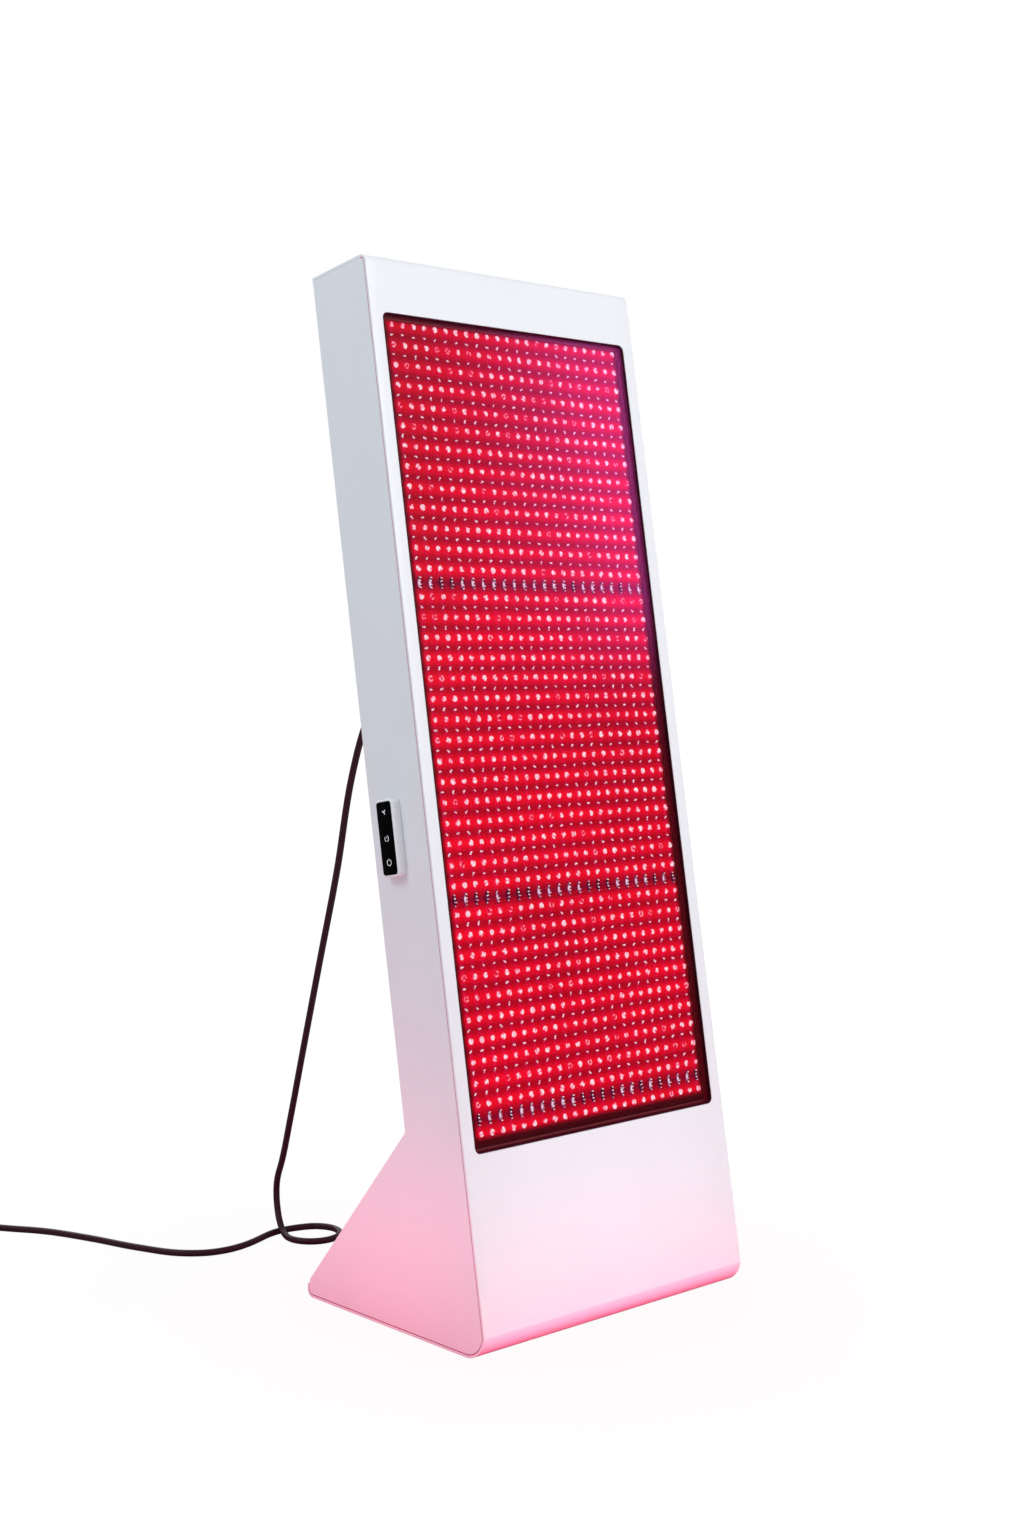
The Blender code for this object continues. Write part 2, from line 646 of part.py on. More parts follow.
def window_parts():
    """The gasket that lines the window, the pane in it and the dark frame behind them."""
    centre = (0, 0, WINDOW_MIDDLE)
    gasket_width, gasket_height = WINDOW_WIDTH - 2 * GAP, WINDOW_HEIGHT - 2 * GAP
    outer = rounded_rectangle(gasket_width, gasket_height, WINDOW_CORNER - GAP)
    ring = prism(outer, "Y", GASKET_SET_BACK, PANE_BACK)
    gasket = place("window_gasket", ring, BLACK_RUBBER, SLAB, centre)
    inner_corner = WINDOW_CORNER - GAP - GASKET_WALL
    hole_width, hole_height = gasket_width - 2 * GASKET_WALL, gasket_height - 2 * GASKET_WALL
    inner = rounded_rectangle(hole_width, hole_height, inner_corner)
    cut(gasket, prism(inner, "Y", -OVERRUN, PANE_BACK + OVERRUN), centre)
    pane = rounded_rectangle(hole_width - 2 * GAP, hole_height - 2 * GAP, inner_corner - GAP)
    place("clear_pane", prism(pane, "Y", PANE_SET_BACK, PANE_BACK), CLEAR_ACRYLIC, SLAB, centre)

    recess_width, recess_height = WINDOW_WIDTH - 2 * RECESS_LEDGE, WINDOW_HEIGHT - 2 * RECESS_LEDGE
    frame_outline = rounded_rectangle(
        recess_width + 2 * RECESS_FRAME_WIDTH, recess_height + 2 * RECESS_FRAME_WIDTH, WINDOW_CORNER
    )
    frame_body = prism(frame_outline, "Y", SHEET + GAP, BOARD_BACK)
    frame = place("recess_frame", frame_body, BLACK_PLASTIC, SLAB, centre)
    opening = rounded_rectangle(recess_width, recess_height, WINDOW_CORNER - RECESS_LEDGE)
    cut(frame, prism(opening, "Y", -OVERRUN, BOARD_BACK + OVERRUN), centre)
    rebate = rounded_rectangle(WINDOW_WIDTH, WINDOW_HEIGHT, WINDOW_CORNER)
    cut(frame, prism(rebate, "Y", -OVERRUN, PANE_BACK + GAP), centre)
    seat_width, seat_height = (size + 2 * (BOARD_OVERHANG + GAP) for size in (WINDOW_WIDTH, WINDOW_HEIGHT))
    seat = block(
        (-seat_width / 2, BOARD_SET_BACK - GAP, -seat_height / 2),
        (seat_width / 2, BOARD_BACK + OVERRUN, seat_height / 2),
    )
    cut(frame, seat, centre)


def emitter_rows():
    """How far up the slab each red row lies, group by group, and each near-infrared row between them."""
    red, infrared = [], []
    up = WINDOW_FROM_BASE + WINDOW_HEIGHT - LED_HEAD_MARGIN
    for count in ROW_GROUPS:
        red.append([up - row * ROW_PITCH for row in range(count)])
        gap = INFRARED_GAP_SHARE * ROW_PITCH
        infrared.append(red[-1][-1] - gap / 2)
        up = red[-1][-1] - gap
    return red, infrared[:-1]


def board_spans():
    """Low and high end of each light board: one to a group, the last single row on the third board."""
    red, infrared = emitter_rows()
    seams = [(infrared[index] + red[index + 1][0]) / 2 for index in range(2)]
    top = WINDOW_FROM_BASE + WINDOW_HEIGHT + BOARD_OVERHANG
    base = WINDOW_FROM_BASE - BOARD_OVERHANG
    return {
        "upper": (seams[0] + GAP / 2, top),
        "middle": (seams[1] + GAP / 2, seams[0] - GAP / 2),
        "lower": (base, seams[1] - GAP / 2),
    }


def add_lens_bars(bm, rows, width):
    """A moulded bar over each row of emitters, narrower at its crown."""
    half = (COLUMNS - 1) * COLUMN_PITCH / 2 + LENS_WIDTH / 2
    foot = BOARD_SET_BACK - GAP - LENS_SHEET / 2
    crown = BOARD_SET_BACK - GAP - LENS_SHEET - LENS_HEIGHT
    for up in rows:
        bar = block((-half, crown, up - width / 2), (half, foot, up + width / 2))
        for corner in bar.verts:
            if corner.co.y < (crown + foot) / 2:
                corner.co.z = up + (corner.co.z - up) * LENS_TOP_SHARE
        mesh = bpy.data.meshes.new("lens_bar")
        bar.to_mesh(mesh)
        bar.free()
        bm.from_mesh(mesh)
        bpy.data.meshes.remove(mesh)


def light_boards():
    """Three boards, each with a lens plate before it."""
    red, infrared = emitter_rows()
    rows = {"upper": red[0], "middle": red[1], "lower": red[2] + red[3]}
    dim_rows = dict(zip(rows, ([up] for up in infrared)))
    half = WINDOW_WIDTH / 2 + BOARD_OVERHANG
    inset = BOARD_OVERHANG + RECESS_LEDGE + LENS_EDGE_CLEARANCE
    for name, (low, high) in board_spans().items():
        board = block((-half, BOARD_SET_BACK, low), (half, BOARD_BACK, high))
        place(f"light_board_{name}", board, BOARD_RED, SLAB)
        base = low + inset if name == "lower" else low
        top = high - inset if name == "upper" else high
        back = BOARD_SET_BACK - GAP
        sheet = block((inset - half, back - LENS_SHEET, base), (half - inset, back, top))
        plate = place(f"lens_plate_{name}", sheet, RED_LENS, SLAB)
        bars = bmesh.new()
        add_lens_bars(bars, rows[name], LENS_WIDTH)
        add_lens_bars(bars, dim_rows[name], INFRARED_LENS_WIDTH)
        join(plate, bars)


def heat_sinks():
    """A finned plate behind each board, its fins running up the slab."""
    half = RAIL_WEB_INSIDE - SINK_EDGE_CLEARANCE
    fin_reach = RAIL_WEB_INSIDE - RAIL_FLANGE - FIN_CLEARANCE
    pitch = (2 * fin_reach - FIN_THICKNESS) / (FIN_COUNT - 1)
    outline = [(-half, FIN_START), (-half, SINK_FRONT), (half, SINK_FRONT), (half, FIN_START)]
    for fin in reversed(range(FIN_COUNT)):
        left = -fin_reach + fin * pitch
        right = left + FIN_THICKNESS
        outline += [(right, FIN_START), (right, FIN_END), (left, FIN_END), (left, FIN_START)]
    for name, (low, high) in board_spans().items():
        place(f"heat_sink_{name}", prism(outline, "Z", low, high), ALUMINIUM, SLAB)


# Chassis and what it carries


def chassis():
    """A channel on each side plate, and level bars between the two."""
    front = FIN_START + GAP
    back = COVER_FRONT - GAP
    web, outer = RAIL_WEB_INSIDE, RAIL_WEB_INSIDE + RAIL_SHEET
    for side, name in ((-1, "left"), (1, "right")):
        outline = [
            (side * outer, front),
            (side * outer, back),
            (side * (web - RAIL_FLANGE), back),
            (side * (web - RAIL_FLANGE), back - RAIL_SHEET),
            (side * web, back - RAIL_SHEET),
            (side * web, front + RAIL_SHEET),
            (side * (web - RAIL_FLANGE), front + RAIL_SHEET),
            (side * (web - RAIL_FLANGE), front),
        ]
        rail = place(f"chassis_rail_{name}", prism(outline, "Z", RAIL_LOW, RAIL_HIGH), STEEL, SLAB)
        cut(rail, screw_holes())
        if side < 0:
            cut(rail, cable_hole(RAIL_SHEET + 2 * OVERRUN, -outer - OVERRUN))
    reach = web - GAP
    for name, share in BAR_SHARES.items():
        up = share * FACE_LENGTH
        bar = block((-reach, BAR_FRONT, up - BAR_HEIGHT / 2), (reach, BAR_BACK, up + BAR_HEIGHT / 2))
        place(f"cross_bar_{name}", bar, STEEL, SLAB)


def led_drivers():
    """Two closed power supplies on the lower bar."""
    up = DRIVER_AT_SHARE * FACE_LENGTH
    front, back = BAR_BACK + GAP, COVER_FRONT - DRIVER_REAR_CLEARANCE
    for side, name in ((-1, "left"), (1, "right")):
        centre = side * DRIVER_SPACING / 2
        low = (centre - DRIVER_WIDTH / 2, front, up - DRIVER_LENGTH / 2)
        high = (centre + DRIVER_WIDTH / 2, back, up + DRIVER_LENGTH / 2)
        place(f"led_driver_{name}", block(low, high), ALUMINIUM, SLAB)


def control_board():
    """The board that runs the lights, in a channel on the middle bar."""
    up = BAR_SHARES["middle"] * FACE_LENGTH
    seat, brim = BAR_BACK + GAP, BAR_BACK + GAP + BRACKET_HEIGHT
    half_width, half_length = CONTROL_BOARD_WIDTH / 2, CONTROL_BOARD_LENGTH / 2
    inner = half_width - BRACKET_SHEET
    outline = [
        (-half_width, seat),
        (half_width, seat),
        (half_width, brim),
        (inner, brim),
        (inner, seat + BRACKET_SHEET),
        (-inner, seat + BRACKET_SHEET),
        (-inner, brim),
        (-half_width, brim),
    ]
    bracket = prism(outline, "Z", up - BAR_HEIGHT / 2, up + BAR_HEIGHT / 2)
    place("board_bracket", bracket, STEEL, SLAB)
    front = brim + GAP
    low = (-half_width, front, up - half_length)
    high = (half_width, front + BOARD_THICKNESS, up + half_length)
    place("control_board", block(low, high), BOARD_GREEN, SLAB)


def fan(name, share):
    """A fan on the rear cover: a square frame with a motor base on four struts, and its rotor."""
    up = share * FACE_LENGTH
    back = COVER_FRONT - GAP
    front = back - FAN_DEPTH
    half = FAN_SIZE / 2
    bore = half - FAN_WALL
    frame = place(f"fan_frame_{name}", block((-half, front, -half), (half, back, half)), BLACK_PLASTIC, SLAB)
    frame.location.z = up
    cut(frame, rod("Y", (0, front - OVERRUN, 0), FAN_DEPTH + 2 * OVERRUN, bore, FAN_SIDES), (0, 0, up))
    base_front = back - FAN_BASE_DEPTH
    reach = bore + FAN_WALL / 2
    join(frame, block((-reach, base_front, -FAN_STRUT / 2), (reach, back - GAP, FAN_STRUT / 2)), (0, 0, up))
    join(frame, block((-FAN_STRUT / 2, base_front, -reach), (FAN_STRUT / 2, back - GAP, reach)), (0, 0, up))
    hub_base = rod("Y", (0, base_front - GAP, 0), FAN_BASE_DEPTH - GAP, FAN_HUB_RADIUS, ROUND_SIDES)
    join(frame, hub_base, (0, 0, up))
    pin_start = base_front - FAN_PIN_LENGTH
    pin = rod("Y", (0, pin_start, 0), FAN_PIN_LENGTH + FAN_BASE_DEPTH / 2, FAN_PIN_RADIUS, SMALL_SIDES)
    join(frame, pin, (0, 0, up))

    hub_back = base_front - GAP - FAN_RUNNING_GAP
    hub = rod("Y", (0, -FAN_HUB_DEPTH, 0), FAN_HUB_DEPTH, FAN_HUB_RADIUS, 2 * SMALL_SIDES)
    rotor = place(f"fan_rotor_{name}", hub, BLACK_PLASTIC, SLAB, (0, hub_back, up))
    root, tip = FAN_HUB_RADIUS - FAN_BLADE_THICKNESS * 2, bore - FAN_WALL
    blades = bmesh.new()
    for number in range(FAN_BLADE_COUNT):
        turn = Matrix.Rotation(2 * math.pi * number / FAN_BLADE_COUNT, 4, "Y")
        out = Matrix.Translation(((root + tip) / 2, -FAN_HUB_DEPTH / 2, 0))
        pitch = Matrix.Rotation(FAN_BLADE_PITCH, 4, "X")
        size = Matrix.Diagonal((tip - root, FAN_BLADE_THICKNESS, FAN_BLADE_CHORD, 1))
        bmesh.ops.create_cube(blades, size=1, matrix=turn @ out @ pitch @ size)
    join(rotor, blades, (0, hub_back, up))
    bore_start = -(FAN_PIN_LENGTH - FAN_RUNNING_GAP) - GAP
    shaft = rod("Y", (0, bore_start, 0), OVERRUN - bore_start, FAN_PIN_RADIUS + GAP, SMALL_SIDES)
    cut(rotor, shaft, (0, hub_back, up))


# Mains inlet, switch and the cord's connector


def mains_inlet():
    """A flanged socket in the rear cover, open to the back."""
    flange_start = SLAB_DEPTH + GAP
    flange = block(
        (-INLET_FLANGE_WIDTH / 2, flange_start, -INLET_FLANGE_HEIGHT / 2),
        (INLET_FLANGE_WIDTH / 2, flange_start + INLET_FLANGE, INLET_FLANGE_HEIGHT / 2),
    )
    centre = (INLET_ACROSS, 0, INLET_UP_SLAB)
    inlet = place("mains_inlet", flange, BLACK_PLASTIC, SLAB, centre)
    half_width, half_height = INLET_BODY_WIDTH / 2, INLET_BODY_HEIGHT / 2
    body_start = flange_start + INLET_FLANGE / 2 - INLET_BODY_DEPTH
    body_end = flange_start + INLET_FLANGE / 2
    join(inlet, block((-half_width, body_start, -half_height), (half_width, body_end, half_height)), centre)
    mouth = flange_start + INLET_FLANGE
    socket = block(
        (SOCKET_WALL - half_width, mouth - SOCKET_DEPTH, SOCKET_WALL - half_height),
        (half_width - SOCKET_WALL, mouth + OVERRUN, half_height - SOCKET_WALL),
    )
    cut(inlet, socket, centre)


def cord_connector():
    """The connector in the inlet: its nose fills the socket and its body narrows to the strain relief."""
    mouth = SLAB_DEPTH + GAP + INLET_FLANGE
    start = mouth + GAP
    end = start + CONNECTOR_LENGTH
    half_width, half_height = CONNECTOR_WIDTH / 2, CONNECTOR_HEIGHT / 2
    waist = start + CONNECTOR_LENGTH / 2
    outline = [
        (-half_width, start),
        (half_width, start),
        (half_width, waist),
        (half_width * CONNECTOR_TAPER_SHARE, end),
        (-half_width * CONNECTOR_TAPER_SHARE, end),
        (-half_width, waist),
    ]
    centre = (INLET_ACROSS, 0, INLET_UP_SLAB)
    body = prism(outline, "Z", -half_height, half_height)
    connector = place("cord_connector", body, BLACK_PLASTIC, SLAB, centre)
    inset = SOCKET_WALL + NOSE_CLEARANCE
    nose_width, nose_height = INLET_BODY_WIDTH / 2 - inset, INLET_BODY_HEIGHT / 2 - inset
    nose_start = mouth - SOCKET_DEPTH + NOSE_CLEARANCE
    nose = block((-nose_width, nose_start, -nose_height), (nose_width, start + OVERRUN, nose_height))
    join(connector, nose, centre)
    relief = rod("Y", (0, end + GAP, 0), RELIEF_LENGTH, RELIEF_RADIUS, ROUND_SIDES, RELIEF_TIP_RADIUS)
    place("connector_relief", relief, BLACK_RUBBER, SLAB, centre, smooth=True)
    return end + GAP + RELIEF_LENGTH + GAP


def power_switch():
    """A rocker in its bezel beside the inlet, tilted to on; its origin is on its pivot."""
    across = INLET_ACROSS + SWITCH_FROM_INLET
    centre = (across, 0, INLET_UP_SLAB)
    start = SLAB_DEPTH + GAP
    half_width, half_height = SWITCH_WIDTH / 2, SWITCH_HEIGHT / 2
    bezel = block((-half_width, start, -half_height), (half_width, start + SWITCH_BEZEL, half_height))
    switch = place("switch_bezel", bezel, BLACK_PLASTIC, SLAB, centre)
    body_width, body_height = half_width - SWITCH_WALL / 2, half_height - SWITCH_WALL / 2
    body_end = start + SWITCH_BEZEL / 2
    body_start = body_end - SWITCH_BODY_DEPTH
    join(switch, block((-body_width, body_start, -body_height), (body_width, body_end, body_height)), centre)
    hole_width, hole_height = half_width - SWITCH_WALL, half_height - SWITCH_WALL
    hole_start, hole_end = body_start + SWITCH_WALL / 2, start + SWITCH_BEZEL + OVERRUN
    cut(switch, block((-hole_width, hole_start, -hole_height), (hole_width, hole_end, hole_height)), centre)

    reach = hole_height - ROCKER_END_CLEARANCE
    half = hole_width - ROCKER_SIDE_CLEARANCE
    outline = [
        (ROCKER_CREST, -reach),
        (ROCKER_DIP, 0.0),
        (ROCKER_CREST, reach),
        (0.0, reach),
        (-ROCKER_KEEL, reach / 2),
        (-ROCKER_KEEL, -reach / 2),
        (0.0, -reach),
    ]
    pivot = (across, SLAB_DEPTH, INLET_UP_SLAB)
    rocker = place("power_rocker", prism(outline, "X", -half, half), BLACK_PLASTIC, SLAB, pivot)
    rocker.rotation_euler.x = ROCKER_TILT


# Control pod


def control_pod():
    """The white pod on the left plate, its glass touch plate and the board behind the glass."""
    centre = (0, POD_INTO_SLAB, POD_UP_SLAB)
    face = -PANEL_WIDTH / 2 - POD_PROUD
    foot = -PANEL_WIDTH / 2 - GAP
    body = prism(rounded_rectangle(POD_WIDTH, POD_LENGTH, POD_CORNER), "X", face, foot)
    rim = [edge for edge in body.edges if all(abs(corner.co.x - face) < GAP for corner in edge.verts)]
    bmesh.ops.bevel(body, geom=rim, offset=POD_EDGE, segments=2, profile=0.5, affect="EDGES", material=-1)
    pod = place("control_pod", body, WHITE_PLASTIC, SLAB, centre, smooth=True)
    glass_width, glass_length = POD_WIDTH - 2 * POD_RIM, POD_LENGTH - 2 * POD_RIM
    pocket_floor = face + POD_GLASS_THICKNESS - POD_GLASS_PROUD + GAP
    pocket = rounded_rectangle(glass_width, glass_length, POD_CORNER - POD_RIM)
    cut(pod, prism(pocket, "X", face - OVERRUN, pocket_floor), centre)
    half_width, half_length = glass_width / 2 - POD_WALL, glass_length / 2 - POD_WALL
    hollow_start = pocket_floor + POD_WALL
    hollow = block((hollow_start, -half_width, -half_length), (foot + OVERRUN, half_width, half_length))
    cut(pod, hollow, centre)
    glass = rounded_rectangle(glass_width - 2 * GAP, glass_length - 2 * GAP, POD_CORNER - POD_RIM - GAP)
    glass_face = face - POD_GLASS_PROUD
    glass_plate = prism(glass, "X", glass_face, glass_face + POD_GLASS_THICKNESS)
    place("touch_glass", glass_plate, BLACK_GLASS, SLAB, centre)
    board_start = hollow_start + GAP
    inset = POD_BOARD_CLEARANCE
    board = block(
        (board_start, inset - half_width, inset - half_length),
        (board_start + POD_BOARD_THICKNESS, half_width - inset, half_length - inset),
    )
    place("touch_board", board, BOARD_GREEN, SLAB, centre)
    return board_start + POD_BOARD_THICKNESS + GAP


# Foot


def foot_parts():
    """Rubber feet, a ballast plate with its bolts, and two gussets under the slanted cover."""
    names = ("front_left", "rear_left", "front_right", "rear_right")
    for name, (x, y) in zip(names, pad_places()):
        pad = rod("Z", (x, y, -PAD_HEIGHT), PAD_HEIGHT - GAP, PAD_RADIUS, ROUND_SIDES)
        foot = place(f"rubber_foot_{name}", pad, BLACK_RUBBER, PANEL)
        join(foot, rod("Z", (x, y, -PAD_HEIGHT / 2), PAD_HEIGHT / 2 + SHEET, PAD_STEM_RADIUS, SMALL_SIDES))

    floor = SHEET + GAP
    top = floor + PLATE_THICKNESS
    half = PANEL_WIDTH / 2 - PLATE_FROM_SIDE
    low = (-half, PLATE_FROM_FRONT, floor)
    high = (half, FOOT_DEPTH - PLATE_FROM_REAR, top)
    plate = place("ballast_plate", block(low, high), STEEL, PANEL)
    bolt_x, bolt_y = half - BOLT_HEAD_RADIUS * 2, (low[1] + high[1]) / 2
    shank = PLATE_THICKNESS + GAP + BOLT_HEAD_HEIGHT / 2
    for side, name in ((-1, "left"), (1, "right")):
        x = side * bolt_x
        cut(plate, rod("Z", (x, bolt_y, -OVERRUN), top + 2 * OVERRUN, BOLT_RADIUS + GAP, SMALL_SIDES))
        body = rod("Z", (x, bolt_y, floor), shank, BOLT_RADIUS, SMALL_SIDES)
        bolt = place(f"ballast_bolt_{name}", body, STEEL, PANEL)
        join(bolt, rod("Z", (x, bolt_y, top + GAP), BOLT_HEAD_HEIGHT, BOLT_HEAD_RADIUS, SMALL_SIDES))

    _, heel, slope, inward = foot_slope()
    under = heel + inward * (COVER_SHEET + GAP)
    toe, crest = under + slope * GUSSET_TOE, under + slope * GUSSET_CREST
    seat = top + GAP
    outline = [(crest.x, seat), (toe.x, seat), toe.to_tuple(), crest.to_tuple()]
    for side, name in ((-1, "left"), (1, "right")):
        centre = side * (half - GUSSET_FROM_PLATE_END)
        gusset = prism(outline, "X", centre - GUSSET_THICKNESS / 2, centre + GUSSET_THICKNESS / 2)
        place(f"foot_gusset_{name}", gusset, STEEL, PANEL)


# Cables and the cord


def smooth_line(points, step, parts=12):
    """Evenly spaced points, about a step apart, on a smooth curve through the given ones."""
    points = [Vector(point) for point in points]
    spans = [(after - here).length for here, after in zip(points, points[1:])]
    ways = [(after - here) / span for here, after, span in zip(points, points[1:], spans)]
    slopes = [ways[0]]
    for way, next_way, span, next_span in zip(ways, ways[1:], spans, spans[1:]):
        slopes.append((way * next_span + next_way * span) / (span + next_span))
    slopes.append(ways[-1])
    fine = []
    for index, span in enumerate(spans):
        here, after = points[index], points[index + 1]
        leave, arrive = slopes[index] * span, slopes[index + 1] * span
        for part in range(parts):
            t = part / parts
            curve = here * (2 * t**3 - 3 * t**2 + 1) + leave * (t**3 - 2 * t**2 + t)
            fine.append(curve + after * (3 * t**2 - 2 * t**3) + arrive * (t**3 - t**2))
    fine.append(points[-1])
    runs = [0.0]
    for here, after in zip(fine, fine[1:]):
        runs.append(runs[-1] + (after - here).length)
    count = max(2, round(runs[-1] / step))
    line, index = [fine[0]], 0
    for number in range(1, count):
        target = runs[-1] * number / count
        while runs[index + 1] < target:
            index += 1
        share = (target - runs[index]) / (runs[index + 1] - runs[index])
        line.append(fine[index].lerp(fine[index + 1], share))
    return line + [fine[-1]]


def tube(name, points, diameter, material, parent=None, resolution=2):
    """A cord along a line of points, with closed ends."""
    curve = bpy.data.curves.new(name, "CURVE")
    curve.dimensions = "3D"
    curve.bevel_depth = diameter / 2
    curve.bevel_resolution = resolution
    curve.use_fill_caps = True
    spline = curve.splines.new("POLY")
    spline.points.add(len(points) - 1)
    for target, point in zip(spline.points, points):
        target.co = (*point, 1.0)
    curve.materials.append(material)
    made = bpy.data.objects.new(name, curve)
    bpy.context.collection.objects.link(made)
    made.parent = parent
    return made


def cable(name, route, size):
    """A cable inside the casing, straight at both ends."""
    line = [route[0], *smooth_line(route[1:-1], size * CABLE_STEP_SHARE), route[-1]]
    tube(name, line, size, WIRE_JACKET, SLAB, resolution=1)


def harnesses(pod_end):
    """Cables inside the casing, each along its real run in the slab."""
    board_up = BAR_SHARES["middle"] * FACE_LENGTH
    board_middle = BAR_BACK + GAP + BRACKET_HEIGHT + GAP + BOARD_THICKNESS / 2
    board_left = -CONTROL_BOARD_WIDTH / 2 - GAP
    cable("pod_cable", (
        (pod_end, POD_INTO_SLAB, POD_UP_SLAB),
        (-PLATE_INSIDE, POD_INTO_SLAB, POD_UP_SLAB),
        (-CONTROL_BOARD_WIDTH, POD_INTO_SLAB, POD_UP_SLAB),
        (board_left - CABLE_SIZE * 2, board_middle, board_up),
        (board_left, board_middle, board_up),
    ), CABLE_SIZE)

    driver_across = -DRIVER_SPACING / 2 - DRIVER_WIDTH / 3
    driver_top = DRIVER_AT_SHARE * FACE_LENGTH + DRIVER_LENGTH / 2 + GAP
    driver_middle = (BAR_BACK + COVER_FRONT - DRIVER_REAR_CLEARANCE) / 2
    inlet_back = SLAB_DEPTH + INLET_FLANGE / 2 - INLET_BODY_DEPTH
    size = MAINS_CABLE_SIZE
    cable("mains_harness", (
        (INLET_ACROSS, inlet_back, INLET_UP_SLAB),
        (INLET_ACROSS, inlet_back - size, INLET_UP_SLAB),
        (INLET_ACROSS, inlet_back - 2 * size, INLET_UP_SLAB - 3 * size),
        (INLET_ACROSS, driver_middle, (INLET_UP_SLAB + driver_top) / 2),
        (driver_across, driver_middle, driver_top + 4 * size),
        (driver_across, driver_middle, driver_top + size),
        (driver_across, driver_middle, driver_top),
    ), size)

    fan_across, fan_middle = FAN_SIZE / 4, COVER_FRONT - GAP - FAN_DEPTH / 2
    fan_low = FAN_SHARES["lower"] * FACE_LENGTH - FAN_SIZE / 2 - GAP
    board_across, board_top = CONTROL_BOARD_WIDTH / 4, board_up + CONTROL_BOARD_LENGTH / 2 + GAP
    size = CABLE_SIZE
    cable("fan_harness", (
        (fan_across, fan_middle, fan_low),
        (fan_across, fan_middle, fan_low - size),
        (board_across, (fan_middle + board_middle) / 2, (fan_low + board_top) / 2),
        (board_across, board_middle, board_top + size),
        (board_across, board_middle, board_top),
    ), size)


def coil_line():
    """The coiled rest of the cord: in on one layer, up in the half turn at the middle, out on the next."""
    start = Vector(COIL_START)
    heading = Vector((math.cos(COIL_HEADING), math.sin(COIL_HEADING), 0))
    left = Vector((-heading.y, heading.x, 0))
    begin = start + heading * CORD_DIAMETER
    centre = begin + left * COIL_RADIUS
    first_angle = COIL_HEADING - math.pi / 2
    count = round(COIL_TURNS * COIL_TURN_POINTS)
    line = [start]
    for number in range(count + 1):
        turn = COIL_TURNS * number / count
        from_middle = turn - COIL_TURNS / 2
        radius = COIL_RADIUS - COIL_PITCH * (COIL_TURNS / 2 - abs(from_middle))
        climb = min(max(from_middle / COIL_CLIMB_SHARE + 0.5, 0.0), 1.0)
        angle = first_angle + 2 * math.pi * turn
        spoke = Vector((math.cos(angle), math.sin(angle), 0))
        line.append(centre + spoke * radius + Vector((0, 0, COIL_PITCH * climb)))
    tangent = Vector((-math.sin(angle), math.cos(angle), 0))
    for share in (1 / 3, 2 / 3, 1):
        line.append(centre + spoke * radius + Vector((0, 0, COIL_PITCH)) + tangent * COIL_TAIL * share)
    return line, tangent, centre


def least_gap(line, diameter):
    """The narrowest space between turns of a line that lie more than three diameters of run apart."""
    fine = []
    for a, b in zip(line, line[1:]):
        fine += [a.lerp(b, step / 4) for step in range(4)]
    runs = [0.0]
    for a, b in zip(fine, fine[1:]):
        runs.append(runs[-1] + (b - a).length)
    least = math.inf
    for i, here in enumerate(fine):
        for j in range(i + 1, len(fine)):
            if runs[j] - runs[i] > 3 * diameter:
                least = min(least, (fine[j] - here).length - diameter)
    return least


def mains_plug(end, direction):
    """A moulded plug with two blades and an earth pin; its cord enters at its origin."""
    outline = [
        (-PLUG_WIDTH / 2 * PLUG_NECK_SHARE, 0),
        (PLUG_WIDTH / 2 * PLUG_NECK_SHARE, 0),
        (PLUG_WIDTH / 2, PLUG_NECK_LENGTH),
        (PLUG_WIDTH / 2, PLUG_LENGTH),
        (-PLUG_WIDTH / 2, PLUG_LENGTH),
        (-PLUG_WIDTH / 2, PLUG_NECK_LENGTH),
    ]
    body = prism(outline, "Z", -PLUG_HEIGHT / 2, PLUG_HEIGHT / 2)
    plug = place("mains_plug", body, BLACK_PLASTIC, None, end)
    turn = math.atan2(direction.y, direction.x) - math.pi / 2
    plug.rotation_euler.z = turn
    inside = PLUG_LENGTH - BLADE_LENGTH / 2
    pins = bmesh.new()
    for x in (-BLADE_SPACING / 2, BLADE_SPACING / 2):
        add_block(
            pins,
            (x - BLADE_THICKNESS / 2, inside, BLADE_RAISE - BLADE_WIDTH / 2),
            (x + BLADE_THICKNESS / 2, PLUG_LENGTH + BLADE_LENGTH, BLADE_RAISE + BLADE_WIDTH / 2),
        )
    add_rod(pins, "Y", (0, inside, -EARTH_PIN_DROP), BLADE_LENGTH * 3 / 2, EARTH_PIN_RADIUS, SMALL_SIDES)
    join(plug, pins, end)
    plug.modifiers[-1].object.rotation_euler.z = turn


def coil_tie(centre):
    """A strap round the bundle of turns, on the coil's far side."""
    bundle = COIL_RADIUS - COIL_PITCH * COIL_TURNS / 2 - CORD_DIAMETER / 2
    inner = math.sqrt(bundle**2 - (TIE_WIDTH / 2) ** 2) - TIE_CLEARANCE
    outer = COIL_RADIUS + CORD_DIAMETER / 2 + TIE_CLEARANCE
    top = COIL_START[2] + COIL_PITCH + CORD_DIAMETER / 2 + TIE_CLEARANCE + TIE_THICKNESS
    strap = block((inner - TIE_THICKNESS, -TIE_WIDTH / 2, 0), (outer + TIE_THICKNESS, TIE_WIDTH / 2, top))
    spot = (centre.x, centre.y, 0)
    tie = place("coil_tie", strap, BLACK_RUBBER, None, spot)
    hole = block((inner, -TIE_WIDTH, TIE_THICKNESS), (outer, TIE_WIDTH, top - TIE_THICKNESS))
    cut(tie, hole, spot)
    turn = COIL_HEADING
    tie.rotation_euler.z = turn
    tie.modifiers[-1].object.rotation_euler.z = turn


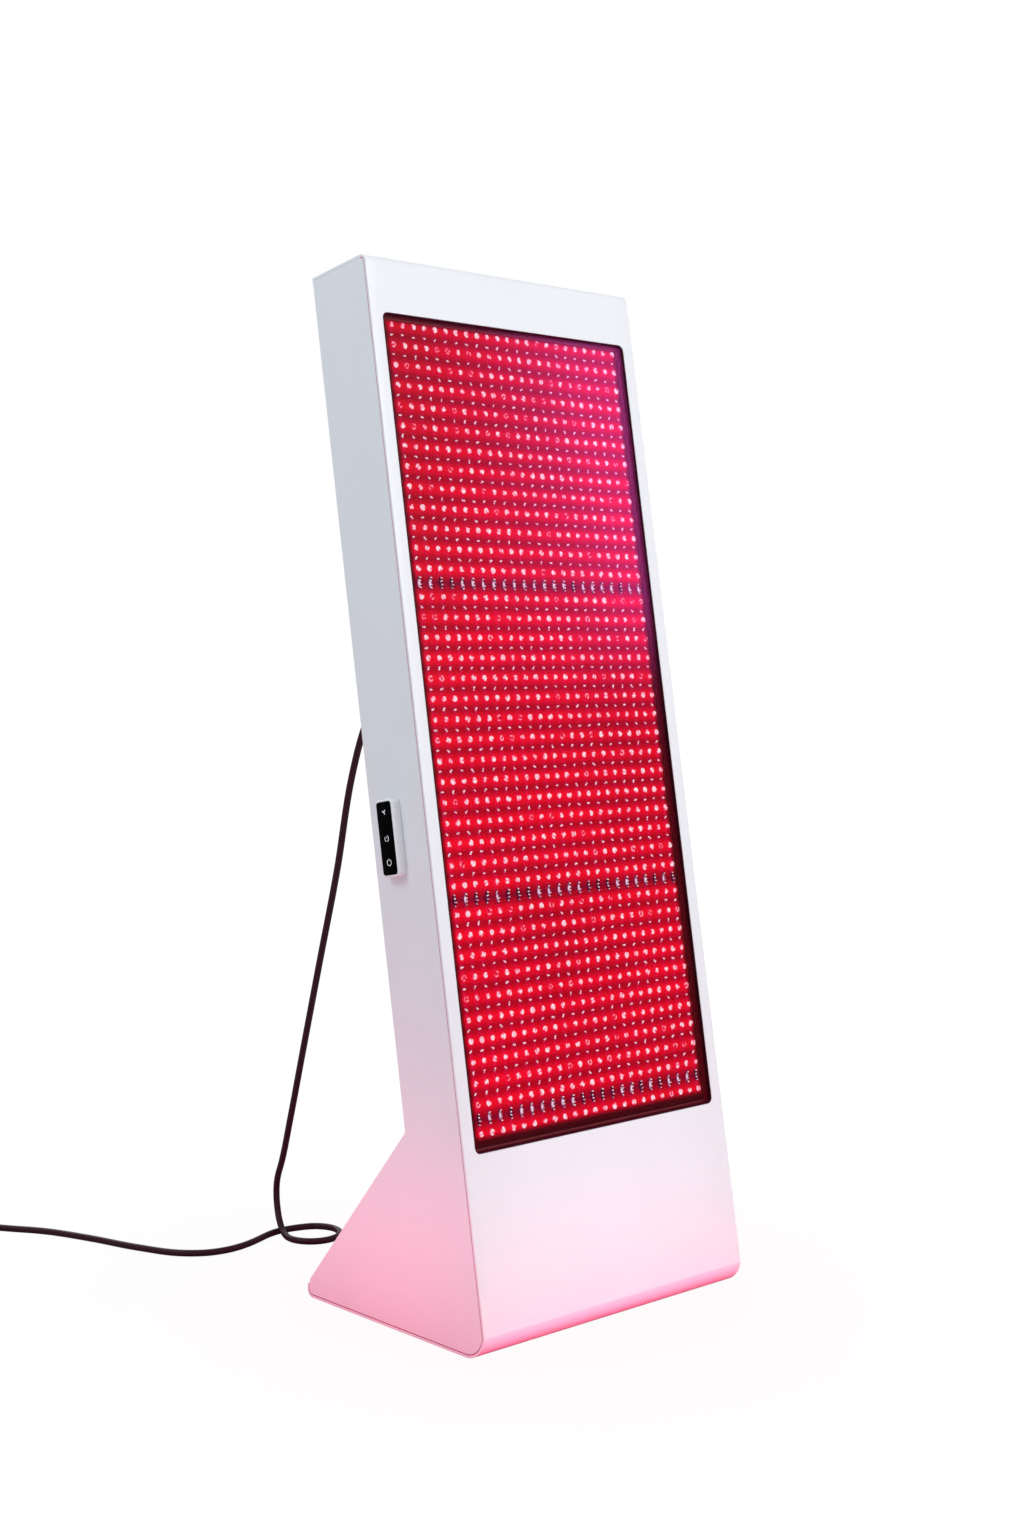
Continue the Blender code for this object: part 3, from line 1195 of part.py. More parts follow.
def cord_exit(into):
    """Where the cord leaves its strain relief, and the way it points, in the world."""
    y, z = from_slab(into, INLET_UP_SLAB)
    away = Vector((0, math.cos(LEAN), -math.sin(LEAN)))
    return Vector((INLET_ACROSS, y, z)) + PANEL.location, away


def mains_cord(exit_into):
    start, away = cord_exit(exit_into)
    coil, tail_direction, centre = coil_line()
    lead_in = (coil[1] - coil[0]).normalized()
    route = [start + away * CORD_DIAMETER, *CORD_ROUTE, coil[0] - lead_in * CORD_DIAMETER]
    run = smooth_line(route, CORD_DIAMETER * CORD_STEP_SHARE)
    line = [start, *run, coil[0] - lead_in * GAP]
    tube("mains_cord", line, CORD_DIAMETER, CORD_JACKET)
    tube("cord_coil", coil, CORD_DIAMETER, CORD_JACKET, resolution=1)
    print(f"cord points {len(line)}, least gap {least_gap(line, CORD_DIAMETER) * 1000:.2f} mm")
    print(f"coil points {len(coil)}, least gap {least_gap(coil, CORD_DIAMETER) * 1000:.2f} mm")
    lengths = [sum((b - a).length for a, b in zip(run, run[1:])) for run in (line, coil)]
    print(f"cord {lengths[0]:.3f} m free, {lengths[1]:.3f} m coiled")
    coil_tie(centre)
    mains_plug(coil[-1] + tail_direction * GAP, tail_direction)


front_shell()
side_plates()
rear_cover()
foot_cover()
rear_cover_screws()
window_parts()
light_boards()
heat_sinks()
chassis()
led_drivers()
control_board()
for fan_name, fan_share in FAN_SHARES.items():
    fan(fan_name, fan_share)
mains_inlet()
exit_depth = cord_connector()
power_switch()
cable_start = control_pod()
foot_parts()
harnesses(cable_start)
mains_cord(exit_depth)
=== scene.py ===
import random
from math import atan2, cos, hypot, pi, radians, sin, sqrt, tan

import bmesh
import bpy
from mathutils import Matrix, Vector


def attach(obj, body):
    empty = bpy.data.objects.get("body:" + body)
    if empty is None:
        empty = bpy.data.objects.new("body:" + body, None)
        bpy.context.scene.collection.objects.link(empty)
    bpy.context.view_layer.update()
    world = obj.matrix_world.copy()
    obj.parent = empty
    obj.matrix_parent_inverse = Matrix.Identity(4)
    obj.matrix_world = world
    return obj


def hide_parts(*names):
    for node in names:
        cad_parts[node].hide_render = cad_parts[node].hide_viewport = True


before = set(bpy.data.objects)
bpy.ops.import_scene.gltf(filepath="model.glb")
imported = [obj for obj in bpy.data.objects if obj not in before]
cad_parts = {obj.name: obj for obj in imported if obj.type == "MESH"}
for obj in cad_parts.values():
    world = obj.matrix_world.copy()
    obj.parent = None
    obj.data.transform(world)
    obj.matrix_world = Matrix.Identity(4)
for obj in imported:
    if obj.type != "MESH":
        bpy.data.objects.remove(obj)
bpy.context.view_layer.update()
ops = bmesh.ops
at = Matrix.Translation


def turned(axis, degrees):
    return Matrix.Rotation(radians(degrees), 4, axis)


# The slab frame: X across, Y into the slab from its face, Z up along the face
LEAN = radians(9.6)
PANEL_PLACE = at((0.0051, -0.1417, 0.002))
SLAB_PLACE = PANEL_PLACE @ Matrix.Rotation(-LEAN, 4, "X")
INTO_SLAB = Vector((0, cos(LEAN), -sin(LEAN)))

# The casing; WINDOW is its half width, then its foot and its head up the face
HALF_WIDTH = 0.18
FACE_LENGTH = 1.065
SLAB_DEPTH = 0.085
FOOT_DEPTH = 0.279
SHEET = 0.0025
WINDOW = (0.166, 0.193, 1.008)
GAP = 0.0003

# The grid of lights, and how far past its outer lights the lit face fades
RECESS_FRONT, SHEET_FRONT = 0.0028, 0.0067
COLUMNS = 23
SIDE_MARGIN, HEAD_MARGIN, FOOT_MARGIN = 0.0137, 0.01, 0.0175
COLUMN_PITCH = (2 * WINDOW[0] - 2 * SIDE_MARGIN) / (COLUMNS - 1)
ROW_GROUPS = (13, 15, 10, 1)
ROW_STEPS = sum(ROW_GROUPS) - len(ROW_GROUPS)
INFRARED_GAP = 1.38
ROW_PITCH = (WINDOW[2] - WINDOW[1] - HEAD_MARGIN - FOOT_MARGIN) / (ROW_STEPS + 3 * INFRARED_GAP)
BRIM_START, BRIM_END = 0.0015, 0.007

# Where things sit, across and up the slab
INLET = (-0.105, 0.65295)
ROCKER_ACROSS = -0.061
POD_INTO, POD_UP = 0.0512, 0.50034
GLASS_OUT = -0.1902

LEVELS, SIDES = ("lower", "middle", "upper"), ("left", "right")


# Nodes; a source is a node and one of its outputs


def set_inputs(node, values):
    for key, value in values.items():
        node.inputs[key].default_value = value


def add_node(tree, kind, values=None, **settings):
    made = tree.nodes.new("ShaderNode" + kind)
    for key, value in settings.items():
        setattr(made, key, value)
    set_inputs(made, values or {})
    return made


def link(*steps):
    """Join sources to inputs, given in turn."""
    for (source, out), (target, into) in zip(steps[::2], steps[1::2]):
        source.id_data.links.new(source.outputs[out], target.inputs[into])


def own_places(tree):
    return add_node(tree, "TexCoord"), "Object"


def patterned(tree, scale, detail, stretch=(1, 1, 1), turn=(0, 0, 0)):
    """A pattern on the piece's own Object coordinates; a stretch draws it out along an axis."""
    mapping = add_node(tree, "Mapping", {"Scale": stretch, "Rotation": turn})
    pattern = add_node(tree, "TexNoise", {"Scale": scale, "Detail": detail})
    link(own_places(tree), (mapping, "Vector"), (mapping, "Vector"), (pattern, "Vector"))
    return pattern, "Fac"


def attribute(tree, name):
    return add_node(tree, "Attribute", attribute_name=name), "Fac"


def ramp(source, stops):
    made = add_node(source[0].id_data, "ValToRGB")
    elements = made.color_ramp.elements
    while len(elements) < len(stops):
        elements.new(0.5)
    for element, (place, colour) in zip(elements, stops):
        element.position = place
        element.color = (*colour, 1)
    link(source, (made, "Fac"))
    return made, "Color"


def spread(source, low, high, start=0.3, end=0.7):
    made = add_node(source[0].id_data, "MapRange", {
        "From Min": start, "From Max": end, "To Min": low, "To Max": high})
    link(source, (made, "Value"))
    return made, "Result"


def reckon(operation, *terms, kind="Math"):
    """An operation on a source and on more sources or plain values."""
    made = add_node(terms[0][0].id_data, kind, operation=operation)
    for number, term in enumerate(terms):
        if isinstance(term, tuple) and len(term) == 2:
            link(term, (made, number))
        else:
            made.inputs[number].default_value = term
    return made, "Value"


def mixed(kind, first, second):
    """Two colours combined in full."""
    made = add_node(first[0].id_data, "Mix", {0: 1}, data_type="RGBA", blend_type=kind)
    link(first, (made, 6), second, (made, 7))
    return made, 2


def mix_shaders(share, first, second, output="Material Output"):
    """Lead a mix of two shaders to the output."""
    tree = first.id_data
    mix = add_node(tree, "MixShader")
    link(share, (mix, 0), (first, 0), (mix, 1), (second, 0), (mix, 2), (mix, 0), (tree.nodes[output], 0))


# Materials


def new_material(name, specular, values):
    """A material with values set on its shader; its nodes come with it."""
    material = bpy.data.materials.new(name)
    material.use_nodes = True
    shader = material.node_tree.nodes["Principled BSDF"]
    set_inputs(shader, {"Specular IOR Level": specular, **values})
    return material, material.node_tree, shader


def give_off(material, light, strength=1):
    """Let a material shine in a source's colour."""
    shader = material.node_tree.nodes["Principled BSDF"]
    link(light, (shader, "Emission Color"))
    set_inputs(shader, {"Emission Strength": strength})
    return material


def finish(name, colour, roughness, mottle, patch, grain, bump, metallic=0, rough_spread=0.08,
           stretch=(1, 1, 1), turn=(0, 0, 0), specular=0.5, coat=0):
    """A surface with a drifting shade, by mottle and patch, and an uneven gloss, by grain and bump."""
    material, tree, shader = new_material(
        name, specular, {"Metallic": metallic, "Coat Weight": coat, "Coat Roughness": 0.12})
    dark = tuple(part * (1 - mottle) for part in colour)
    light = tuple(min(part * (1 + mottle * 0.6), 1) for part in colour)
    shade = ramp(patterned(tree, patch, 4), ((0.32, dark), (0.5, colour), (0.7, light)))
    fine = patterned(tree, grain, 2, stretch, turn)
    gloss = spread(fine, roughness - rough_spread, roughness + rough_spread)
    raised = add_node(tree, "Bump", {"Strength": bump, "Distance": 0.0004})
    link(shade, (shader, "Base Color"), gloss, (shader, "Roughness"), fine, (raised, "Height"),
         (raised, "Normal"), (shader, "Normal"))
    return material


WHITE_PAINT = finish(
    "white_powder_coat", (0.86, 0.87, 0.9), 0.4, 0.012, 14, 620, 0.1,
    rough_spread=0.06, coat=0.05)
WHITE_PLASTIC = finish(
    "white_moulded_pod", (0.88, 0.88, 0.9), 0.28, 0.012, 14, 1500, 0.03,
    rough_spread=0.04, coat=0.2)
MARK_WHITE = finish("mark_white", (0.8, 0.8, 0.8), 0.5, 0.08, 300, 700, 0.06)
BLACK_PLASTIC = finish("black_moulded", (0.018, 0.018, 0.02), 0.46, 0.25, 14, 1400, 0.12)
BLACK_RUBBER = finish("black_rubber", (0.022, 0.021, 0.021), 0.74, 0.3, 60, 1800, 0.2)
# A black rubber gasket; its dark red is painted red light spilling from the lights
GASKET_PAINTED_RED_SPILL = finish(
    "black_gasket_painted_red_spill", (0.045, 0.002, 0.008), 0.8, 0.3, 60, 1800, 0.2, specular=0.08)
# Dark rose for the seam: painted shade of the gap with painted red light from the lights
SEAM_PAINTED_SHADE_AND_RED = finish("seam_bead", (0.62, 0.02, 0.12), 0.6, 0.2, 60, 1500, 0.1, specular=0.2)
TIE_RUBBER = finish(
    "tie_rubber", (0.03, 0.029, 0.03), 0.62, 0.3, 90, 900, 0.3, stretch=(1, 1, 0.2))
ALUMINIUM = finish(
    "extruded_aluminium", (0.74, 0.75, 0.77), 0.34, 0.06, 14, 900, 0.08, 1,
    stretch=(1, 1, 0.03), turn=(LEAN, 0, 0))
ZINC = finish("zinc_plate", (0.62, 0.63, 0.66), 0.38, 0.12, 70, 500, 0.06, 1)
NICKEL = finish("nickel_pin", (0.7, 0.68, 0.63), 0.26, 0.08, 200, 900, 0.05, 1)
JACKET = finish(
    "cord_jacket", (0.036, 0.003, 0.009), 0.44, 0.12, 40, 900, 0.04, rough_spread=0.06,
    specular=0.2)
GREEN_BOARD = finish("green_board", (0.028, 0.17, 0.075), 0.42, 0.3, 160, 600, 0.2)
RED_BOARD = finish("red_board", (0.22, 0.006, 0.012), 0.42, 0.3, 90, 600, 0.15)
TOUCH_GLASS = finish(
    "black_touch_glass", (0.001, 0.001, 0.0015), 0.09, 0.5, 60, 300, 0,
    rough_spread=0.02, specular=0.02)


def clear_sheet():
    """Mostly see-through acrylic with a soft even gloss."""
    material, tree, shader = new_material("clear_acrylic", 0.6, {
        "Base Color": (0.02, 0.012, 0.014, 1)})
    link(spread(patterned(tree, 5, 3), 0.17, 0.22), (shader, "Roughness"))
    edge = add_node(tree, "LayerWeight", {"Blend": 0.16})
    veil = spread((edge, "Fresnel"), 0.03, 0.6, 0, 1)
    mix_shaders(veil, add_node(tree, "BsdfTransparent"), shader)
    return material


def recess_paint():
    """Dark paint with a painted red glow for the lights' spill, stronger the deeper it lies."""
    material = finish("dark_recess_paint", (0.02, 0.001, 0.002), 0.5, 0.25, 14, 900, 0.1,
                      specular=0.04)
    tree = material.node_tree
    depth = reckon("DOT_PRODUCT", own_places(tree), INTO_SLAB, kind="VectorMath")
    start = PANEL_PLACE.translation.dot(INTO_SLAB)
    share = spread(depth, 0, 1, start + RECESS_FRONT, start + SHEET_FRONT)
    # A painted red glow: the lights' spill, stronger deeper in
    return give_off(material, ramp(share, ((0, (0.02, 0, 0.001)), (1, (0.085, 0, 0.004)))))


def field_glow():
    """The lit face under the lenses: a bright band along each row, a pink streak down each column."""
    material, tree, _ = new_material("lit_red_field", 0.02, {
        "Base Color": (0.02, 0, 0.001, 1), "Roughness": 0.5})
    axes = add_node(tree, "SeparateXYZ")
    link(own_places(tree), (axes, 0))
    # The distance to the nearest column; the shift keeps it above zero
    shift = reckon("ADD", (axes, "X"), COLUMN_PITCH * 40 - PANEL_PLACE.translation.x)
    near = reckon("PINGPONG", shift, COLUMN_PITCH / 2)
    wobble = reckon("MULTIPLY_ADD", patterned(tree, 300, 2), 0.36, -0.18)
    away = reckon("ADD", attribute(tree, "from_row"), wobble)
    band = ramp(spread(away, 0, 1, 0, 1.5), (
        (0, (0.96, 0.002, 0.02)), (0.22, (0.86, 0.001, 0.018)), (0.5, (0.54, 0, 0.013)),
        (0.68, (0.42, 0, 0.013)), (0.85, (0.28, 0, 0.017)), (1, (0.21, 0, 0.021)),
    ))
    streak = ramp(spread(near, 1, 0, 0, 0.0034), ((0, (0, 0, 0)), (1, (0.03, 0.002, 0.03))))
    drift = ramp(patterned(tree, 7, 2), ((0.34, (0.84, 0.84, 0.84)), (0.62, (1, 1, 1))))
    corner = reckon("DOT_PRODUCT", own_places(tree), (-0.6, 0, 1), kind="VectorMath")
    fade = spread(corner, 1, 0.76, 0.75, 1.1)
    margin = ramp(attribute(tree, "to_edge"), (
        (0, (1, 1, 1)), (0.45, (0.5, 0.5, 0.5)), (1, (0.1, 0.1, 0.1)),
    ))
    whole = mixed("ADD", band, streak)
    for layer in (drift, fade, margin):
        whole = mixed("MULTIPLY", whole, layer)
    return give_off(material, whole)


def lit_lens(name, stops):
    """A small lens lit from its middle, shaded by the piece's own attribute; on the glint specks this light is a
    painted glint.
    """
    material, tree, _ = new_material(name, 0.03, {
        "Base Color": (0.03, 0, 0.002, 1), "Roughness": 0.25})
    wobble = reckon("MULTIPLY_ADD", patterned(tree, 620, 1), 0.5, -0.25)
    return give_off(material, ramp(reckon("ADD", attribute(tree, "core"), wobble), stops))


def lit_mark():
    """A lit key seen through the glass, a little uneven."""
    material = finish("lit_touch_mark", (0.6, 0.62, 0.62), 0.3, 0.2, 300, 700, 0.06)
    tree = material.node_tree
    glow = ramp(patterned(tree, 900, 2), ((0.3, (0.3, 0.34, 0.33)), (0.7, (0.85, 0.88, 0.86))))
    return give_off(material, glow, 0.45)


# Making pieces


def shown(name, data):
    """A new object in the scene."""
    made = bpy.data.objects.new(name, data)
    bpy.context.collection.objects.link(made)
    return made


def as_mesh(bm, name):
    mesh = bpy.data.meshes.new(name)
    bm.to_mesh(mesh)
    bm.free()
    return mesh


def add_modifier(made, name, kind, **settings):
    modifier = made.modifiers.new(name, kind)
    for key, value in settings.items():
        setattr(modifier, key, value)


def eased(made, width, segments, angle):
    add_modifier(made, "edge", "BEVEL", width=width, segments=segments, limit_method="ANGLE",
                 angle_limit=radians(angle))


def set_on(made, body, replaces):
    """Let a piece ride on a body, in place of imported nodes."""
    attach(made, body)
    if replaces:
        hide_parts(*replaces)
    return made


def piece(name, bm, material, body="panel", replaces=(), place=None, edge=0, steps=2, sharp=35,
          recalculate=True):
    """Finish a mesh under construction as a piece that rides on a body."""
    if place is not None:
        ops.transform(bm, matrix=place, verts=bm.verts)
    if recalculate:
        ops.recalc_face_normals(bm, faces=bm.faces)
    mesh = as_mesh(bm, name)
    mesh.materials.append(material)
    mesh.shade_smooth()
    mesh.set_sharp_from_angle(angle=radians(sharp))
    made = shown(name, mesh)
    if edge:
        eased(made, edge, steps, 30)
    return set_on(made, body, replaces)


def tube(name, line, radius, rounding, material, replaces=()):
    """A cord or wire along a line."""
    curve = bpy.data.curves.new(name, "CURVE")
    curve.dimensions = "3D"
    curve.bevel_depth, curve.bevel_resolution = radius, rounding
    curve.use_fill_caps = True
    spline = curve.splines.new("POLY")
    spline.points.add(len(line) - 1)
    for target, point in zip(spline.points, line):
        target.co = (*point, 1)
    spline.use_smooth = True
    curve.materials.append(material)
    return set_on(shown(name, curve), "panel", replaces)


def softened(node, material, edge, body="panel", steps=2):
    """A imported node, its flat facets joined and its edges eased."""
    bm = bmesh.new()
    bm.from_mesh(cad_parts[node].data)
    ops.remove_doubles(bm, verts=bm.verts, dist=0.00002)
    ops.dissolve_limit(bm, angle_limit=radians(0.6), verts=bm.verts, edges=bm.edges)
    return piece(f"{node}_eased", bm, material, body, (node,), edge=edge, steps=steps)


def add_box(bm, low, high):
    middle = [(a + b) / 2 for a, b in zip(low, high)]
    size = Matrix.Diagonal((*[b - a for a, b in zip(low, high)], 1))
    return ops.create_cube(bm, size=1, matrix=at(middle) @ size)["verts"]


def ease(bm, parts, width, segments, affect="EDGES"):
    ops.bevel(bm, geom=list(parts), offset=width, segments=segments, profile=0.5, affect=affect, material=-1)


def push(bm, faces, way, drop=True):
    """Extrude faces along a way and give the new ones; the old ones can stay as a cap."""
    grown = ops.extrude_face_region(bm, geom=faces)["geom"]
    ops.translate(bm, vec=way, verts=[item for item in grown if isinstance(item, bmesh.types.BMVert)])
    if drop:
        ops.delete(bm, geom=faces, context="FACES_ONLY")
    return [item for item in grown if isinstance(item, bmesh.types.BMFace)]


def cut(bm, point, way):
    """Cut the faces along a plane."""
    ops.bisect_plane(bm, geom=bm.verts[:] + bm.edges[:] + bm.faces[:], plane_co=point, plane_no=way,
                     dist=0.000001)


def lathe(profile, place, steps):
    """A full turn of a radius and height line about an axis."""
    bm = bmesh.new()
    rows = [bm.verts.new((radius, 0, height)) for radius, height in profile]
    edges = [bm.edges.new(pair) for pair in zip(rows, rows[1:])]
    ops.spin(bm, geom=rows + edges, cent=(0, 0, 0), axis=(0, 0, 1), angle=2 * pi, steps=steps, use_merge=True)
    ops.remove_doubles(bm, verts=bm.verts, dist=0.00001)
    ops.holes_fill(bm, edges=[edge for edge in bm.edges if edge.is_boundary], sides=0)
    ops.transform(bm, matrix=place, verts=bm.verts)
    return bm


def add_form(bm, form, place):
    """A copy of a small form set in its place."""
    form.transform(place)
    bm.from_mesh(form)
    form.transform(place.inverted())


def join(bm, other, place):
    """Add another mesh under construction in its place, and close it."""
    mesh = as_mesh(other, "part")
    add_form(bm, mesh, place)
    bpy.data.meshes.remove(mesh)


def turned_to_back(across, up):
    """Places a lathe's height along the way into the slab."""
    return SLAB_PLACE @ at((across, 0, up)) @ turned("X", -90)


# Lines


def bent_line(corners, radii):
    """A line through corners, each rounded to its radius in 14 steps."""
    points = [Vector(corners[0])]
    for before, corner, after, radius in zip(corners, corners[1:], corners[2:], radii):
        before, corner, after = Vector(before), Vector(corner), Vector(after)
        back, ahead = (before - corner).normalized(), (after - corner).normalized()
        half = back.angle(ahead) / 2
        centre = corner + (back + ahead).normalized() * (radius / sin(half))
        first = corner + back * (radius / tan(half)) - centre
        last = corner + ahead * (radius / tan(half)) - centre
        turn = first.angle_signed(last)
        points += [centre + Matrix.Rotation(-turn * step / 14, 2) @ first for step in range(15)]
    return points + [Vector(corners[-1])]


def smooth_line(points):
    """Points some 4 mm apart on a smooth curve through the given ones."""
    points = [Vector(point) for point in points]
    spans = [(after - here).length for here, after in zip(points, points[1:])]
    ways = [(after - here) / span for here, after, span in zip(points, points[1:], spans)]
    slopes = [ways[0]]
    for way, next_way, span, next_span in zip(ways, ways[1:], spans, spans[1:]):
        slopes.append((way * next_span + next_way * span) / (span + next_span))
    slopes.append(ways[-1])
    fine = []
    for here, after, span, leave, arrive in zip(points, points[1:], spans, slopes, slopes[1:]):
        for t in [part / 12 for part in range(12)]:
            fine.append(here * (2 * t**3 - 3 * t**2 + 1) + leave * span * (t**3 - 2 * t**2 + t)
                        + after * (3 * t**2 - 2 * t**3) + arrive * span * (t**3 - t**2))
    fine.append(points[-1])
    runs = [0]
    for here, after in zip(fine, fine[1:]):
        runs.append(runs[-1] + (after - here).length)
    count = max(2, round(runs[-1] / 0.004))
    line, index = [fine[0]], 0
    for number in range(1, count):
        target = runs[-1] * number / count
        while runs[index + 1] < target:
            index += 1
        share = (target - runs[index]) / (runs[index + 1] - runs[index])
        line.append(fine[index].lerp(fine[index + 1], share))
    return line + [fine[-1]]


def eased_line(line, rounds):
    """The same line with its small kinks relaxed; its ends stay."""
    for _ in range(rounds):
        relaxed = [here * 0.5 + (before + after) * 0.25 for before, here, after in
                   zip(line[1:], line[2:], line[3:])]
        line = line[:2] + relaxed + line[-2:]
    return line


# Camera and light

# Each lamp's name, place, target, width, height, power, colour and spread in degrees
LAMPS = (
    ("key", (0.9, -2.7, 2.05), (0, 0, 0.5), 1.8, 1.8, 56, (1, 1, 1), 180),
    ("left_fill", (-2.2, 0.3, 2.5), (-0.1, 0, 1.15), 1.4, 1.4, 9, (0.8, 0.95, 1), 100),
    ("rear_fill", (0.8, 2.9, 2), (0, 0, 0.5), 1.8, 1.8, 32, (0.95, 0.97, 1), 180),
    ("floor_glow", (-0.06, -0.4, 0.03), (0, -0.08, 0.1), 0.42, 0.18, 0.13, (1, 0.04, 0.18), 180),
    ("bend_glow", (0.005, -0.161, 0.0015), (0.005, -0.16, 0.5), 0.38, 0.03, 0.15, (1, 0.02, 0.14), 180),
    ("side_glow", (-0.4, 0.03, 0.03), (-0.18, 0.03, 0.1), 0.36, 0.12, 0.5, (1, 0.08, 0.26), 180),
    ("right_glow", (1.3, 0.25, 0.5), (0.19, -0.05, 0.5), 0.3, 1, 2, (1, 0.42, 0.55), 180),
    ("low_fill", (0, -0.42, 0.32), (0, -0.13, 0.08), 0.3, 0.06, 0.038, (0.66, 0.84, 1), 60),
    ("violet_card", (1.6, -1.23, 1.5), (0.165, 0.01, 0.88), 0.36, 0.75, 40, (0.9, 0.09, 0.62), 180),
)
# The lamps that light only some pieces
LIT_ALONE = {
    "violet_card": ("clear_pane_eased", "window_gasket_eased"),
    "low_fill": ("casing_wrap",),
    "right_glow": ("casing_wrap", "side_sheet_right"),
    "side_glow": ("casing_wrap", "side_sheet_left", "pod_body"),
}


def viewpoint():
    """The photograph's own viewpoint."""
    scene = bpy.context.scene
    camera = shown("camera", bpy.data.cameras.new("camera"))
    camera.location = (-1.4107, -1.5308, 0.6672)
    camera.rotation_euler = (radians(90 - 3.298), 0, -radians(42.365))
    camera.data.sensor_width = 36
    camera.data.lens = 47.64
    scene.camera = camera
    scene.view_settings.view_transform = "Standard"


def soft_light():
    """The lamps, and a white surround."""
    for name, place, target, width, height, power, colour, cone in LAMPS:
        light = bpy.data.lights.new(name, "AREA")
        light.shape = "RECTANGLE"
        light.size, light.size_y = width, height
        light.energy = power
        light.color = colour
        light.spread = radians(cone)
        lamp = shown(name, light)
        lamp.location = place
        lamp.rotation_euler = (Vector(target) - Vector(place)).to_track_quat("-Z", "Y").to_euler()
        lamp.visible_camera = False

    world = bpy.data.worlds.new("studio")
    bpy.context.scene.world = world
    world.use_nodes = True
    tree = world.node_tree
    back = tree.nodes["Background"]
    set_inputs(back, {"Color": (0.93, 0.96, 1, 1), "Strength": 0.48})
    white = add_node(tree, "Background", {"Color": (1, 1, 1, 1)})
    mix_shaders((add_node(tree, "LightPath"), "Is Camera Ray"), back, white, "World Output")


def pale_floor():
    """A wide floor with painted red light round the foot, and nearly white to the camera."""
    bm = bmesh.new()
    ops.create_grid(bm, x_segments=1, y_segments=1, size=30)
    floor = shown("floor", as_mesh(bm, "floor"))
    material, tree, shader = new_material("studio_floor", 0.1, {"Roughness": 0.9})
    reach = reckon("LENGTH", own_places(tree), kind="VectorMath")
    # Painted red light round the foot, fading to a pale grey farther out
    painted_red_pool = ramp(reach, ((0.22, (0.66, 0.11, 0.22)), (0.5, (0.68, 0.57, 0.61)), (1, (0.68, 0.64, 0.66))))
    link(painted_red_pool, (shader, "Base Color"))
    camera_ray = (add_node(tree, "LightPath"), "Is Camera Ray")
    share = reckon("MULTIPLY", camera_ray, spread(reach, 0.92, 1, 0.5, 1.2))
    mix_shaders(share, shader, add_node(tree, "Emission", {"Strength": 1.04}))
    floor.data.materials.append(material)


viewpoint()
soft_light()
pale_floor()


# Casing

# The crease low on the face: how far up it lies and how much it turns
CREASE_UP = 0.024
CREASE = radians(18)

# The bends at the top and the heel and under the face, and the window's corners
BEND, BASE_BEND, WINDOW_CORNER = 0.008, 0.027, 0.0066

# Where the wrap starts and ends on a side's outline: at the top of the back, and round the heel
TOP_OF_BACK, HEEL_END = 45, 15

# The seam between the wrap and a side; its strip starts inside the wrap and lies under the sides' face, and below
# the top that strip is painted shade and painted red light
SEAM, STRIP_TUCK, STRIP_DROP = 0.0009, 0.00005, 0.00025


def in_panel(into, up):
    """The panel frame's Y and Z of a place in the slab."""
    return into * cos(LEAN) + up * sin(LEAN), up * cos(LEAN) - into * sin(LEAN)


def base_bend(inset):
    """The crease low on the face and the corner under it, for a line set in from the sheet's outside."""
    steep = CREASE - LEAN
    across = (CREASE - 2 * LEAN) / 2
    crease = Vector(in_panel(0, CREASE_UP)) + Vector((cos(across), sin(across))) * inset / cos(CREASE / 2)
    corner = crease + Vector((tan(steep), -1)) * (crease.y - inset)
    return tuple(crease), tuple(corner)


def casing_wrap():
    """One sheet bent over the top, down the face and under the base, with the window cut out."""
    corners = (
        in_panel(SLAB_DEPTH, FACE_LENGTH), in_panel(0, FACE_LENGTH), *base_bend(0), (FOOT_DEPTH, 0),
        (FOOT_DEPTH, 0.014),
    )
    line = bent_line(corners, (BEND, 0.0034, BASE_BEND, BEND))
    bm = bmesh.new()
    left, right = [[bm.verts.new((x, y, z)) for y, z in line] for x in (-HALF_WIDTH, HALF_WIDTH)]
    for four in zip(left, left[1:], right[1:], right):
        bm.faces.new(four)
    ops.recalc_face_normals(bm, faces=bm.faces)
    to_slab = Matrix.Rotation(LEAN, 4, "X")
    ops.transform(bm, matrix=to_slab, verts=bm.verts)
    half, low, high = WINDOW
    for x in (half, -half):
        cut(bm, (x, 0, 0), (1, 0, 0))
    for z in (low, high):
        cut(bm, (0, 0, z), (0, 0, 1))
    near = 0.0001
    middles = {face: face.calc_center_median() for face in bm.faces}
    window = [face for face, middle in middles.items()
              if abs(middle.y) < near and abs(middle.x) < half and low < middle.z < high]
    ops.delete(bm, geom=window, context="FACES")
    corners = [vert for vert in bm.verts if abs(abs(vert.co.x) - half) < near and abs(vert.co.y) < near
               and min(abs(vert.co.z - low), abs(vert.co.z - high)) < near]
    ease(bm, corners, WINDOW_CORNER, 8, "VERTICES")
    ops.transform(bm, matrix=PANEL_PLACE @ to_slab.inverted(), verts=bm.verts)
    if max(bm.faces, key=lambda face: face.calc_area()).normal.z > 0.5:
        ops.reverse_faces(bm, faces=bm.faces)
    made = piece("casing_wrap", bm, WHITE_PAINT, replaces=("front_shell",), recalculate=False)
    add_modifier(made, "sheet", "SOLIDIFY", thickness=SHEET, offset=-1)
    eased(made, 0.0006, 3, 40)


